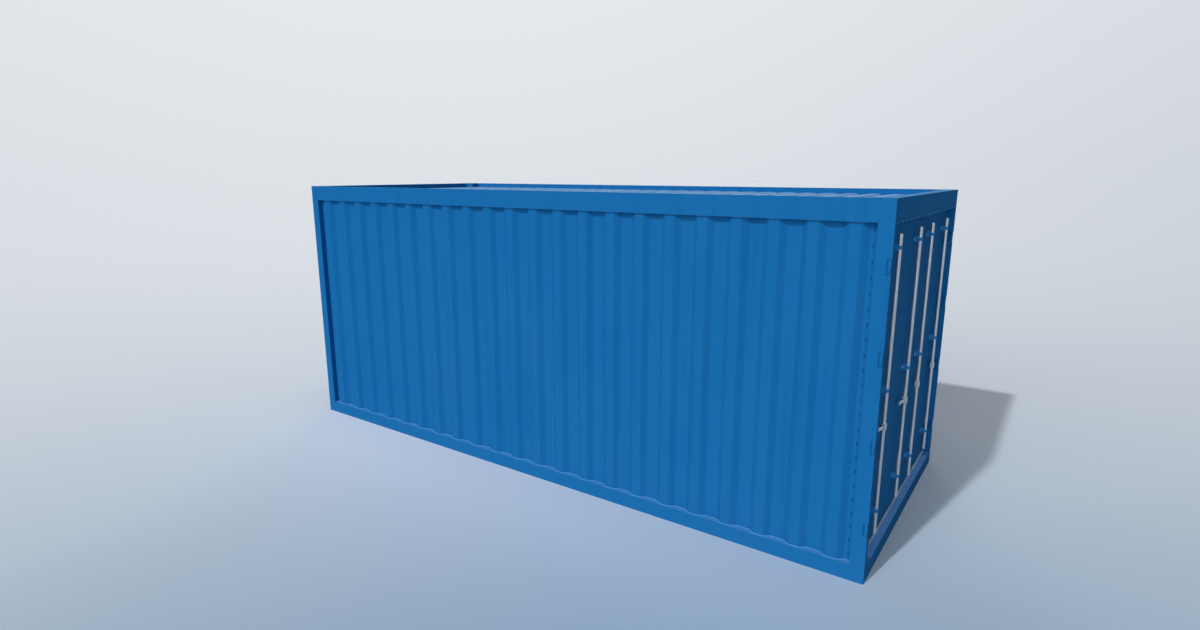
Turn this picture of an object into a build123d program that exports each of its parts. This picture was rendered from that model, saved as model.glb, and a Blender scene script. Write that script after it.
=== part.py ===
from build123d import *
import os
from math import hypot, sqrt

# A 20 ft steel shipping container with two hinged end doors and four lock rods.
# Millimetres. The origin is the centre of the footprint on the ground, +Z is up, +X points
# to the door end, and +Y is on the right of someone who stands facing the doors.

# Overall size
LENGTH = 6058
WIDTH = 2438
HEIGHT = 2591

# Corner blocks, with one slotted aperture each, in the face that meets another container
BLOCK_LENGTH = 178
BLOCK_WIDTH = 162
BASE_DEPTH = 118  # height of every corner block, and of the rails between the lower ones
BLOCK_WALL = 12
BLOCK_PLATE = 28
APERTURE_LENGTH = 124
APERTURE_WIDTH = 63.5
APERTURE_SPACING_X = 5853
APERTURE_SPACING_Y = 2259

# Rails and posts, hollow sections
TOP_RAIL_DEPTH = 150
RAIL_WIDTH = 55
RAIL_WALL = 4
END_BEAM_WIDTH = 100  # door header and door sill, along X
POST_LENGTH = 100
DOOR_POST_WIDTH = 50
POST_WALL = 6

# Corrugated wall sheets
SHEET = 2
WALL_INSET = 16.5  # from the rails' faces back to the outer flats
WALL_DEPTH = 33
WALL_SLOPE = 44
WALL_CREST = 74
SIDE_WAVES = 22
FRONT_WAVES = 9

# Corrugated roof sheet
ROOF_DROP = 48  # from the rails' tops down to the upper flats
ROOF_DEPTH = 20
ROOF_SLOPE = 18
ROOF_CREST = 90
ROOF_WAVES = 28
ROOF_PLATE = 3  # flat plates at both ends of the roof, between the corner blocks

# Floor and what carries it
FLOOR_THICKNESS = 28
CROSS_MEMBERS = 14
CROSS_MEMBER_WIDTH = 45
CROSS_MEMBER_WALL = 4
CROSS_MEMBER_MARGIN = 345  # from an end beam to the middle of the first member
GROUND_CLEARANCE = 15

# Door leaves
LEAF_RECESS = 62  # from the end plane back to the leaves' faces
LEAF_THICKNESS = 50
LEAF_SHEET = 3
LEAF_BAR = 60
LEAF_CROSSBARS = 3
LEAF_SIDE_GAP = 10
LEAF_TOP_GAP = 10
LEAF_FOOT_GAP = 12
LEAF_MEETING_GAP = 14
GASKET_WIDTH = 34
GASKET_THICKNESS = 12
GASKET_LIP = 3
THRESHOLD_WIDTH = 24
THRESHOLD_THICKNESS = 4

# Hinges, with their pins inside the outer front corner of the door posts
HINGES = 4
HINGE_END_MARGIN = 260  # from a leaf's ends to the middle of its outer hinges
HINGE_INSET = 14  # from the end plane and from the side plane to the pin's axis
PIN_RADIUS = 6
PIN_CLEARANCE = 0.3
KNUCKLE_RADIUS = 13
KNUCKLE_CLEARANCE = 3
BLADE_THICKNESS = 10
BLADE_HEIGHT = 90
BLADE_GRIP = 110  # length of a blade on the leaf's face
BLADE_BEND = 8
POCKET_CLEARANCE = 5  # behind a blade
POCKET_SIDE_CLEARANCE = 3  # beside a blade's cranked arm
POCKET_END_GAP = 3
POCKET_PLATE = 6

# Lock rods and what carries them on the leaves
ROD_RADIUS = 14
ROD_WALL = 4
ROD_INSET = 22  # from the end plane back to the rods' axes
INNER_ROD_MARGIN = 233  # from a leaf's free edge
OUTER_ROD_MARGIN = 242  # from a leaf's hinge edge
ROD_FOOT_MARGIN = 110  # from a leaf's foot
ROD_HEAD_MARGIN = 75
FOOT_BEARING_MARGIN = 175  # from a rod's foot to the middle of its lowest saddle
HEAD_BEARING_MARGIN = 88
BEARING_CLEARANCE = 0.5
SADDLE_HEIGHT = 46
SADDLE_FLANGE = 5
SADDLE_FLANGE_WIDTH = 64
SADDLE_LIP = 8  # how far a saddle stops short of the rod's axis
CLIP_THICKNESS = 3
CLIP_HEIGHT = 24
CLIP_CORNER = 8  # cut of the folds at a clip's crown
HANDLE_HEIGHT = 1042
HANDLE_LENGTH = 130  # from the rod's axis to the handle's tip
HANDLE_DEPTH = 24
HANDLE_THICKNESS = 9
HANDLE_CRANK = 12  # how far the tip lies closer to the leaf
HUB_WIDTH = 38
HUB_CORNER = 8
HUB_HEIGHT = 48

# Planes and levels that several pieces share
END = LENGTH / 2
SIDE = WIDTH / 2
RAIL_INNER = SIDE - RAIL_WIDTH
FRONT_INNER = -END + RAIL_WIDTH
BEAM_INNER = END - END_BEAM_WIDTH
POST_INNER_X = END - POST_LENGTH
DOORWAY_SIDE = SIDE - DOOR_POST_WIDTH
TOP_RAIL_FOOT = HEIGHT - TOP_RAIL_DEPTH
UPPER_BLOCK_FOOT = HEIGHT - BASE_DEPTH
BLOCK_INNER_X = END - BLOCK_LENGTH
BLOCK_INNER_Y = SIDE - BLOCK_WIDTH
LEAF_FACE = END - LEAF_RECESS
LEAF_BACK = LEAF_FACE - LEAF_THICKNESS
LEAF_HINGE_SIDE = DOORWAY_SIDE - LEAF_SIDE_GAP
LEAF_FREE_SIDE = LEAF_MEETING_GAP / 2
LEAF_FOOT = BASE_DEPTH + LEAF_FOOT_GAP
LEAF_HEAD = TOP_RAIL_FOOT - LEAF_TOP_GAP
HINGE_X = END - HINGE_INSET
HINGE_Y = SIDE - HINGE_INSET
POCKET_HEIGHT = BLADE_HEIGHT + 2 * POCKET_END_GAP
ROD_X = END - ROD_INSET
ROD_FOOT = LEAF_FOOT + ROD_FOOT_MARGIN
ROD_HEAD = LEAF_HEAD - ROD_HEAD_MARGIN
INNER_ROD_OFFSET = LEAF_FREE_SIDE + INNER_ROD_MARGIN
OUTER_ROD_OFFSET = LEAF_HINGE_SIDE - OUTER_ROD_MARGIN
BEARING_LEVELS = (
    ROD_FOOT + FOOT_BEARING_MARGIN,
    (ROD_FOOT + ROD_HEAD) / 2,
    ROD_HEAD - HEAD_BEARING_MARGIN,
)


def span(x, y, z):
    """The box between the two ends given for each axis."""
    size = [high - low for low, high in (x, y, z)]
    middle = [(low + high) / 2 for low, high in (x, y, z)]
    return Pos(*middle) * Box(*size)


def hollow_bar(x, y, z, wall, along):
    """A hollow section that fills the box given, open at both ends along one axis."""
    bore = []
    for axis, (low, high) in (("x", x), ("y", y), ("z", z)):
        bore.append((low, high) if axis == along else (low + wall, high - wall))
    return span(x, y, z) - span(*bore)


def other_side(shape):
    """The mirror image on the other long side."""
    return mirror(shape, about=Plane.XZ)


def other_end(shape):
    """The mirror image on the other end."""
    return mirror(shape, about=Plane.YZ)


def corrugated_sheet(run, waves, depth, slope, crest, width):
    """A folded sheet of even thickness with half a trough at each end.

    It runs along X from 0, its crests face -Y at y = 0, and its folds run up Z for the width.
    """
    pitch = run / waves
    lean = (hypot(slope, depth) - slope) / depth  # tangent of half the fold angle
    shift = SHEET * lean
    outer = [(0, depth)]
    inner = [(0, depth + SHEET)]
    for wave in range(waves):
        middle = (wave + 0.5) * pitch
        for side in (-1, 1):
            foot = (middle + side * (crest / 2 + slope), depth)
            head = (middle + side * crest / 2, 0)
            for x, y in (foot, head) if side < 0 else (head, foot):
                outer.append((x, y))
                inner.append((x - side * shift, y + SHEET))
    outer.append((run, depth))
    inner.append((run, depth + SHEET))
    section = make_face(Polyline(*outer, *reversed(inner), close=True))
    return extrude(section, amount=width)


def aperture_outline():
    """The rounded slot that a twist lock enters, at its place in a corner block."""
    slot = SlotOverall(APERTURE_LENGTH, APERTURE_WIDTH)
    return Pos(APERTURE_SPACING_X / 2, APERTURE_SPACING_Y / 2, 0) * slot


def block_envelope(foot):
    """The outer box of the corner block at +X +Y whose foot is at the height given."""
    return span((BLOCK_INNER_X, END), (BLOCK_INNER_Y, SIDE), (foot, foot + BASE_DEPTH))


def lower_block():
    """The lower corner block at +X +Y: a hollow casting with an aperture in its lower face."""
    cavity = span(
        (BLOCK_INNER_X + BLOCK_WALL, END - BLOCK_WALL),
        (BLOCK_INNER_Y + BLOCK_WALL, SIDE - BLOCK_WALL),
        (BLOCK_PLATE, BASE_DEPTH - BLOCK_WALL),
    )
    return block_envelope(0) - cavity - extrude(aperture_outline(), amount=BLOCK_PLATE)


def corner_blocks():
    """All eight corner blocks, by name."""
    lower_right = lower_block()
    upper_right = mirror(lower_right, about=Plane.XY.offset(HEIGHT / 2))
    blocks = {}
    for level, door_right in (("lower", lower_right), ("upper", upper_right)):
        door_left = other_side(door_right)
        blocks[f"{level}_block_door_right"] = door_right
        blocks[f"{level}_block_door_left"] = door_left
        blocks[f"{level}_block_front_right"] = other_end(door_right)
        blocks[f"{level}_block_front_left"] = other_end(door_left)
    return blocks


def blocks_envelope(foot):
    """The space of the four corner blocks on one level, for what is coped round them."""
    right = block_envelope(foot) + other_end(block_envelope(foot))
    return right + other_side(right)


def rails():
    """Side rails and end beams, between the blocks, with the upper ones coped under them."""
    upper = blocks_envelope(UPPER_BLOCK_FOOT)
    right_top = hollow_bar(
        (-POST_INNER_X, POST_INNER_X), (RAIL_INNER, SIDE), (TOP_RAIL_FOOT, HEIGHT), RAIL_WALL, "x"
    ) - upper
    right_bottom = hollow_bar(
        (-BLOCK_INNER_X, BLOCK_INNER_X), (RAIL_INNER, SIDE), (0, BASE_DEPTH), RAIL_WALL, "x"
    )
    header = hollow_bar(
        (BEAM_INNER, END), (-BLOCK_INNER_Y, BLOCK_INNER_Y), (UPPER_BLOCK_FOOT, HEIGHT), RAIL_WALL, "y"
    )
    head_rail = hollow_bar(
        (BEAM_INNER, END), (-DOORWAY_SIDE, DOORWAY_SIDE), (TOP_RAIL_FOOT, UPPER_BLOCK_FOOT), RAIL_WALL, "y"
    )
    front_top = hollow_bar(
        (-END, FRONT_INNER), (-RAIL_INNER, RAIL_INNER), (TOP_RAIL_FOOT, HEIGHT), RAIL_WALL, "y"
    ) - upper
    sill = hollow_bar(
        (BEAM_INNER, END), (-BLOCK_INNER_Y, BLOCK_INNER_Y), (0, BASE_DEPTH), RAIL_WALL, "y"
    )
    front_bottom = hollow_bar(
        (-END, FRONT_INNER), (-BLOCK_INNER_Y, BLOCK_INNER_Y), (0, BASE_DEPTH), RAIL_WALL, "y"
    )
    return {
        "right_top_rail": right_top,
        "left_top_rail": other_side(right_top),
        "right_bottom_rail": right_bottom,
        "left_bottom_rail": other_side(right_bottom),
        "door_header": header,
        "door_head_rail": head_rail,
        "door_sill": sill,
        "front_top_rail": front_top,
        "front_bottom_rail": front_bottom,
    }


def hinge_levels():
    """The heights of the middles of a door's hinges."""
    lowest = LEAF_FOOT + HINGE_END_MARGIN
    highest = LEAF_HEAD - HINGE_END_MARGIN
    step = (highest - lowest) / (HINGES - 1)
    return [lowest + number * step for number in range(HINGES)]


def hinge_pocket(level):
    """The recess in the right door post that a hinge sits in and swings out of."""
    back = LEAF_FACE - POCKET_CLEARANCE
    outer = HINGE_Y + BLADE_THICKNESS / 2 + POCKET_SIDE_CLEARANCE
    z = (level - POCKET_HEIGHT / 2, level + POCKET_HEIGHT / 2)
    arm_room = span((back, END), (DOORWAY_SIDE, outer), z)
    knuckle_back = HINGE_X - KNUCKLE_RADIUS - KNUCKLE_CLEARANCE
    return arm_room + span((knuckle_back, END), (HINGE_Y, SIDE), z)


def hinge_pocket_lining(level):
    """The plates that box in a hinge pocket inside the post."""
    back = LEAF_FACE - POCKET_CLEARANCE - POST_WALL
    reach = POCKET_HEIGHT / 2 + POCKET_PLATE
    return span((back, END), (DOORWAY_SIDE, SIDE), (level - reach, level + reach))


def right_door_post():
    """The door post at +Y: a hollow section with boxed pockets for the hinges and their pins."""
    post = hollow_bar(
        (POST_INNER_X, END), (DOORWAY_SIDE, SIDE), (BASE_DEPTH, UPPER_BLOCK_FOOT), POST_WALL, "z"
    )
    for level in hinge_levels():
        post += hinge_pocket_lining(level)
    for level in hinge_levels():
        post -= hinge_pocket(level)
        post += Pos(HINGE_X, HINGE_Y, level) * Cylinder(PIN_RADIUS, POCKET_HEIGHT)
    return post


def posts():
    """The four corner posts."""
    right_door = right_door_post()
    right_front = other_end(hollow_bar(
        (POST_INNER_X, END), (RAIL_INNER, SIDE), (BASE_DEPTH, UPPER_BLOCK_FOOT), POST_WALL, "z"
    ))
    return {
        "door_post_right": right_door,
        "door_post_left": other_side(right_door),
        "front_post_right": right_front,
        "front_post_left": other_side(right_front),
    }


def walls():
    """The corrugated side walls and front wall."""
    height = TOP_RAIL_FOOT - BASE_DEPTH
    side_run = 2 * POST_INNER_X
    left = Pos(-POST_INNER_X, -SIDE + WALL_INSET, BASE_DEPTH) * corrugated_sheet(
        side_run, SIDE_WAVES, WALL_DEPTH, WALL_SLOPE, WALL_CREST, height
    )
    front = Pos(-END + WALL_INSET, RAIL_INNER, BASE_DEPTH) * Rot(0, 0, -90) * corrugated_sheet(
        2 * RAIL_INNER, FRONT_WAVES, WALL_DEPTH, WALL_SLOPE, WALL_CREST, height
    )
    return {"left_wall": left, "right_wall": other_side(left), "front_wall": front}


def roof():
    """The roof sheet, sunk between the side rails from the front blocks to the door blocks."""
    sheet = corrugated_sheet(
        2 * BLOCK_INNER_X, ROOF_WAVES, ROOF_DEPTH, ROOF_SLOPE, ROOF_CREST, 2 * RAIL_INNER
    )
    return Pos(-BLOCK_INNER_X, -RAIL_INNER, HEIGHT - ROOF_DROP) * Rot(-90, 0, 0) * sheet


def roof_end_plates():
    """The flat plates that close the roof between the corner blocks, level with its troughs."""
    foot = HEIGHT - ROOF_DROP - ROOF_DEPTH - SHEET
    y = (-BLOCK_INNER_Y, BLOCK_INNER_Y)
    z = (foot, foot + ROOF_PLATE)
    return Compound([span((BLOCK_INNER_X, BEAM_INNER), y, z), span((FRONT_INNER, -BLOCK_INNER_X), y, z)])


def floor():
    """The plywood floor, flush with the sill and coped round the corner blocks."""
    deck = span(
        (FRONT_INNER, BEAM_INNER), (-RAIL_INNER, RAIL_INNER), (BASE_DEPTH - FLOOR_THICKNESS, BASE_DEPTH)
    )
    return deck - blocks_envelope(0)


def cross_members():
    """The channels that carry the floor between the bottom rails."""
    head = BASE_DEPTH - FLOOR_THICKNESS
    first = FRONT_INNER + CROSS_MEMBER_MARGIN
    last = BEAM_INNER - CROSS_MEMBER_MARGIN
    channels = []
    for number in range(CROSS_MEMBERS):
        x = first + number * (last - first) / (CROSS_MEMBERS - 1)
        left, right = x - CROSS_MEMBER_WIDTH / 2, x + CROSS_MEMBER_WIDTH / 2
        bar = span((left, right), (-RAIL_INNER, RAIL_INNER), (GROUND_CLEARANCE, head))
        hollow = span(
            (left + CROSS_MEMBER_WALL, right),
            (-RAIL_INNER, RAIL_INNER),
            (GROUND_CLEARANCE + CROSS_MEMBER_WALL, head - CROSS_MEMBER_WALL),
        )
        channels.append(bar - hollow)
    return Compound(channels)


def threshold():
    """The pale strip on the sill at the doors' feet."""
    return span(
        (LEAF_FACE - THRESHOLD_WIDTH / 2, LEAF_FACE + THRESHOLD_WIDTH / 2),
        (-DOORWAY_SIDE, DOORWAY_SIDE),
        (BASE_DEPTH, BASE_DEPTH + THRESHOLD_THICKNESS),
    )


def leaf_frame():
    """The bars of the right leaf, behind its face sheet."""
    x = (LEAF_BACK, LEAF_FACE - LEAF_SHEET)
    bay_y = (LEAF_FREE_SIDE + LEAF_BAR, LEAF_HINGE_SIDE - LEAF_BAR)
    bay_height = (LEAF_HEAD - LEAF_FOOT - (LEAF_CROSSBARS + 2) * LEAF_BAR) / (LEAF_CROSSBARS + 1)
    frame = span(x, (LEAF_FREE_SIDE, LEAF_HINGE_SIDE), (LEAF_FOOT, LEAF_HEAD))
    for number in range(LEAF_CROSSBARS + 1):
        foot = LEAF_FOOT + LEAF_BAR + number * (bay_height + LEAF_BAR)
        frame -= span(x, bay_y, (foot, foot + bay_height))
    return frame


def leaf_sheet():
    """The flat face sheet of the right leaf."""
    return span(
        (LEAF_FACE - LEAF_SHEET, LEAF_FACE), (LEAF_FREE_SIDE, LEAF_HINGE_SIDE), (LEAF_FOOT, LEAF_HEAD)
    )


def leaf_gasket():
    """The rubber seal round the back of the right leaf, with a lip past its outer edges."""
    x = (LEAF_BACK - GASKET_THICKNESS, LEAF_BACK)
    outer = (
        (LEAF_FREE_SIDE, LEAF_HINGE_SIDE + GASKET_LIP),
        (LEAF_FOOT - GASKET_LIP, LEAF_HEAD + GASKET_LIP),
    )
    inner = (
        (LEAF_FREE_SIDE + GASKET_WIDTH, LEAF_HINGE_SIDE + GASKET_LIP - GASKET_WIDTH),
        (LEAF_FOOT - GASKET_LIP + GASKET_WIDTH, LEAF_HEAD + GASKET_LIP - GASKET_WIDTH),
    )
    return span(x, *outer) - span(x, *inner)


def hinge_blade(level):
    """One hinge of the right door: a knuckle, a cranked arm and a blade on the leaf's face."""
    arm = LEAF_RECESS - HINGE_INSET
    reach = HINGE_Y - LEAF_HINGE_SIDE + BLADE_GRIP
    half = BLADE_THICKNESS / 2
    with BuildSketch() as plan:
        with BuildLine():
            Polyline(
                (0, half), (-arm, half), (-arm, -reach), (-arm + BLADE_THICKNESS, -reach),
                (-arm + BLADE_THICKNESS, -half), (0, -half), close=True,
            )
        make_face()
        fillet(plan.vertices().filter_by_position(Axis.Y, half, half).sort_by(Axis.X)[0], BLADE_BEND)
        Circle(KNUCKLE_RADIUS)
        Circle(PIN_RADIUS + PIN_CLEARANCE, mode=Mode.SUBTRACT)
    blade = extrude(plan.sketch, amount=BLADE_HEIGHT)
    return Pos(HINGE_X, HINGE_Y, level - BLADE_HEIGHT / 2) * blade


def saddle(offset, level):
    """The bracket behind a rod: a flange on the leaf and a cradle for the rod."""
    bore = ROD_RADIUS + BEARING_CLEARANCE
    with BuildSketch() as plan:
        with Locations((LEAF_FACE, offset)):
            Rectangle(SADDLE_FLANGE, SADDLE_FLANGE_WIDTH, align=(Align.MIN, Align.CENTER))
            Rectangle(ROD_X - SADDLE_LIP - LEAF_FACE, 2 * bore, align=(Align.MIN, Align.CENTER))
        with Locations((ROD_X, offset)):
            Circle(bore, mode=Mode.SUBTRACT)
    return Pos(0, 0, level - SADDLE_HEIGHT / 2) * extrude(plan.sketch, amount=SADDLE_HEIGHT)


def clip(offset, level):
    """The folded strap that holds a rod in its saddle."""
    inner = ROD_RADIUS + BEARING_CLEARANCE
    outer = inner + CLIP_THICKNESS
    foot = LEAF_FACE + SADDLE_FLANGE - ROD_X
    inner_cut = CLIP_CORNER - CLIP_THICKNESS * (2 - sqrt(2))
    half = [(foot, outer), (outer - CLIP_CORNER, outer), (outer, outer - CLIP_CORNER)]
    half_bore = [(inner, inner - inner_cut), (inner - inner_cut, inner), (foot, inner)]
    outside = half + [(x, -y) for x, y in reversed(half)]
    inside = [(x, -y) for x, y in reversed(half_bore)] + half_bore
    strap = extrude(make_face(Polyline(*outside, *inside, close=True)), amount=CLIP_HEIGHT)
    return Pos(ROD_X, offset, level - CLIP_HEIGHT / 2) * strap


def lock_rod(offset):
    """A lock rod of the right door with its hub and handle, which points to the hinges."""
    length = ROD_HEAD - ROD_FOOT
    tube = Cylinder(ROD_RADIUS, length) - Cylinder(ROD_RADIUS - ROD_WALL, length)
    half = HANDLE_THICKNESS / 2
    knee = HANDLE_LENGTH / 2
    face = [
        (half, 0),
        (half, knee - HANDLE_CRANK),
        (half - HANDLE_CRANK, knee + HANDLE_CRANK),
        (half - HANDLE_CRANK, HANDLE_LENGTH),
    ]
    back = [(x - HANDLE_THICKNESS, y) for x, y in reversed(face)]
    handle = extrude(make_face(Polyline(*face, *back, close=True)), amount=HANDLE_DEPTH)
    square = Rectangle(HUB_WIDTH, HUB_WIDTH)
    hub = extrude(chamfer(square.vertices(), HUB_CORNER), amount=HUB_HEIGHT)
    fitting = Pos(0, 0, -HANDLE_DEPTH / 2) * handle + Pos(0, 0, -HUB_HEIGHT / 2) * hub
    fitting -= Cylinder(ROD_RADIUS, HUB_HEIGHT)
    return Pos(ROD_X, offset, 0) * (
        Pos(0, 0, (ROD_FOOT + ROD_HEAD) / 2) * tube + Pos(0, 0, HANDLE_HEIGHT) * fitting
    )


def right_door():
    """Every piece of the right door that turns with it."""
    offsets = (INNER_ROD_OFFSET, OUTER_ROD_OFFSET)
    bearings = [(offset, level) for offset in offsets for level in BEARING_LEVELS]
    return {
        "door_frame": leaf_frame(),
        "door_sheet": leaf_sheet(),
        "door_gasket": leaf_gasket(),
        "door_hinges": Compound([hinge_blade(level) for level in hinge_levels()]),
        "rod_saddles": Compound([saddle(*bearing) for bearing in bearings]),
        "rod_clips": Compound([clip(*bearing) for bearing in bearings]),
        "inner_lock_rod": lock_rod(INNER_ROD_OFFSET),
        "outer_lock_rod": lock_rod(OUTER_ROD_OFFSET),
    }


def build():
    """Every node of the container, by name."""
    nodes = {**corner_blocks(), **rails(), **posts(), **walls()}
    nodes["roof"] = roof()
    nodes["roof_end_plates"] = roof_end_plates()
    nodes["floor"] = floor()
    nodes["cross_members"] = cross_members()
    nodes["threshold"] = threshold()
    for name, shape in right_door().items():
        nodes[f"right_{name}"] = shape
        nodes[f"left_{name}"] = other_side(shape)
    return nodes


os.makedirs("parts", exist_ok=True)
for name, shape in build().items():
    export_step(shape, f"parts/{name}.step")
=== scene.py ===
"""Dresses a 20 ft shipping container with two hinged end doors.

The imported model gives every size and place. This script adds what folding, welding, painting and
assembly leave on the steel: bent wall and roof sheets, weld beads, plywood panels, door seals and
fasteners, and it gives each surface its finish.

Metres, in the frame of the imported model: +Z is up, +X points to the door end, and -Y is the long
side that the photograph shows.
"""

import logging
import math
from dataclasses import dataclass, field
from enum import Enum

import bmesh
import bpy
from bpy.types import Material, Mesh, Node, NodeSocket, NodeTree, Object
from mathutils import Matrix, Vector


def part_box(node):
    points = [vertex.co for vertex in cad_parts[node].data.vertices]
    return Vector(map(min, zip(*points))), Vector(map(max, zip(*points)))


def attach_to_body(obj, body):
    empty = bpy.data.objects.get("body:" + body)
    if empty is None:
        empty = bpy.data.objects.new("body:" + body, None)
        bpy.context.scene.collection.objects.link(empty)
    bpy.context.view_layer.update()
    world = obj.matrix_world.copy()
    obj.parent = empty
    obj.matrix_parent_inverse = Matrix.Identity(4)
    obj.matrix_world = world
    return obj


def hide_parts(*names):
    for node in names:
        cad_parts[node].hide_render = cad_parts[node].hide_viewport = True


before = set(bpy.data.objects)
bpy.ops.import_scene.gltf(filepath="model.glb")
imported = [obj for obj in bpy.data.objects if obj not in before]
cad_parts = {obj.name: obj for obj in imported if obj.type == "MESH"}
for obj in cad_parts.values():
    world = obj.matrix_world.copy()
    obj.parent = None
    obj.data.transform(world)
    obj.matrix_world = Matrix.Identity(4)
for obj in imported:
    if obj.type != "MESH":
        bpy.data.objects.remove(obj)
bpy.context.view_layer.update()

MM = 0.001
SHEET = 2 * MM  # the thickness of the walls' and the roof's steel
SAME_POINT = 0.01 * MM  # corners that lie closer than this are one
SMOOTH_ANGLE = math.radians(30)  # a sharper bend shows as an edge
FLAT_ANGLE = math.radians(1)  # triangles that bend less than this are one face

log = logging.getLogger("container")


class Side(Enum):
    """A long side of the container, by the sign of its Y."""

    LEFT = -1
    RIGHT = 1

    @property
    def word(self) -> str:
        """The side's name as the model's nodes spell it."""
        return self.name.lower()


class Socket(Enum):
    """The kinds of named input that the node trees here have."""

    FLOAT = "NodeSocketFloat"
    COUNT = "NodeSocketInt"
    MATERIAL = "NodeSocketMaterial"
    GEOMETRY = "NodeSocketGeometry"


class Head(Enum):
    """The forms of fastener head."""

    HEXAGON = "hexagon"
    DOME = "dome"
    FLUSH = "flush"


WASHER_REACH = 1.45  # a bolt's washer, in radii of its head


# Colours, sizes and node trees


def linear(colour: str) -> tuple[float, float, float, float]:
    """Turns an sRGB colour into the linear one that the shaders use.

    Args:
        colour: The colour as six hex digits.

    Returns:
        Linear red, green and blue, and an alpha of 1.
    """
    parts = [int(colour[at:at + 2], 16) / 255 for at in (0, 2, 4)]
    channels = [c / 12.92 if c <= 0.04045 else ((c + 0.055) / 1.055) ** 2.4 for c in parts]
    return (channels[0], channels[1], channels[2], 1.0)


def per_metre(size_mm: float) -> float:
    """The texture scale that makes a pattern's features the given size in millimetres."""
    return 1 / (size_mm * MM)


def per_metre_each(*sizes_mm: float) -> Vector:
    """The texture scales that give the features one size in millimetres along each axis."""
    return Vector([per_metre(size) for size in sizes_mm])


@dataclass
class Tree:
    """A shader or geometry tree under construction.

    Attributes:
        group: Blender's own tree.
    """

    group: NodeTree

    def add(self, kind: str, inputs: dict | None = None, **settings: object) -> Node:
        """Adds one node with its settings, and sets or links its inputs.

        Args:
            kind: The node's type.
            inputs: For each input, by its name or number, a value, an output socket, or a node whose
                first output in use is linked.
            settings: The node's own properties.

        Returns:
            The node.
        """
        node = self.group.nodes.new(kind)
        for name, value in settings.items():
            setattr(node, name, value)
        in_use = [socket for socket in node.inputs if socket.enabled]
        for name, value in (inputs or {}).items():
            target = in_use[name] if isinstance(name, int) else next(s for s in in_use if s.name == name)
            if isinstance(value, Node):
                value = next(socket for socket in value.outputs if socket.enabled)
            if isinstance(value, NodeSocket):
                self.group.links.new(value, target)
            else:
                target.default_value = value
        return node


# Finishes


@dataclass(frozen=True)
class Clouds:
    """A cloudy pattern that says where a surface has worn or weathered.

    Attributes:
        size_mm: The clouds' size along each axis.
        detail: How many finer layers they have.
        start: The noise's value at which they begin.
        full: The value from which they are at their most.
        most: The largest share of the upper colour.
    """

    size_mm: tuple[float, float, float]
    detail: float
    start: float
    full: float
    most: float

    def spread(
        self, tree: Tree, place: NodeSocket, under: Node | tuple, over: str
    ) -> tuple[Node, Node, Node]:
        """Spreads one colour in clouds over another.

        Args:
            tree: The material's tree.
            place: The object coordinates.
            under: The lower colour.
            over: The upper colour, as six hex digits.

        Returns:
            The noise, the upper colour's share, and the two colours together.
        """
        scaled = tree.add("ShaderNodeMapping", {"Vector": place, "Scale": per_metre_each(*self.size_mm)})
        noise = tree.add("ShaderNodeTexNoise", {"Vector": scaled, "Scale": 1.0, "Detail": self.detail})
        share = tree.add(
            "ShaderNodeMapRange",
            {"Value": noise, "From Min": self.start, "From Max": self.full, "To Max": self.most},
        )
        colour = tree.add(
            "ShaderNodeMix", {"Factor": share, "A": under, "B": linear(over)}, data_type="RGBA"
        )
        return noise, share, colour


@dataclass(frozen=True)
class Finish:
    """What every finish has.

    Attributes:
        name: The material's name.
    """

    name: str

    def surface(self, tree: Tree, place: NodeSocket) -> dict:
        """Draws the finish's patterns. Each finish has its own.

        Args:
            tree: The material's tree.
            place: The object coordinates that the patterns read.

        Returns:
            The surface shader's inputs.
        """
        raise NotImplementedError

    def make(self) -> Material:
        """Builds the material.

        Returns:
            The material.
        """
        material = bpy.data.materials.new(self.name)
        material.use_nodes = True
        tree = Tree(material.node_tree)
        tree.group.nodes.clear()
        place = tree.add("ShaderNodeTexCoord").outputs["Object"]
        shader = tree.add("ShaderNodeBsdfPrincipled", self.surface(tree, place))
        tree.add("ShaderNodeOutputMaterial", {"Surface": shader})
        return material


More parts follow.
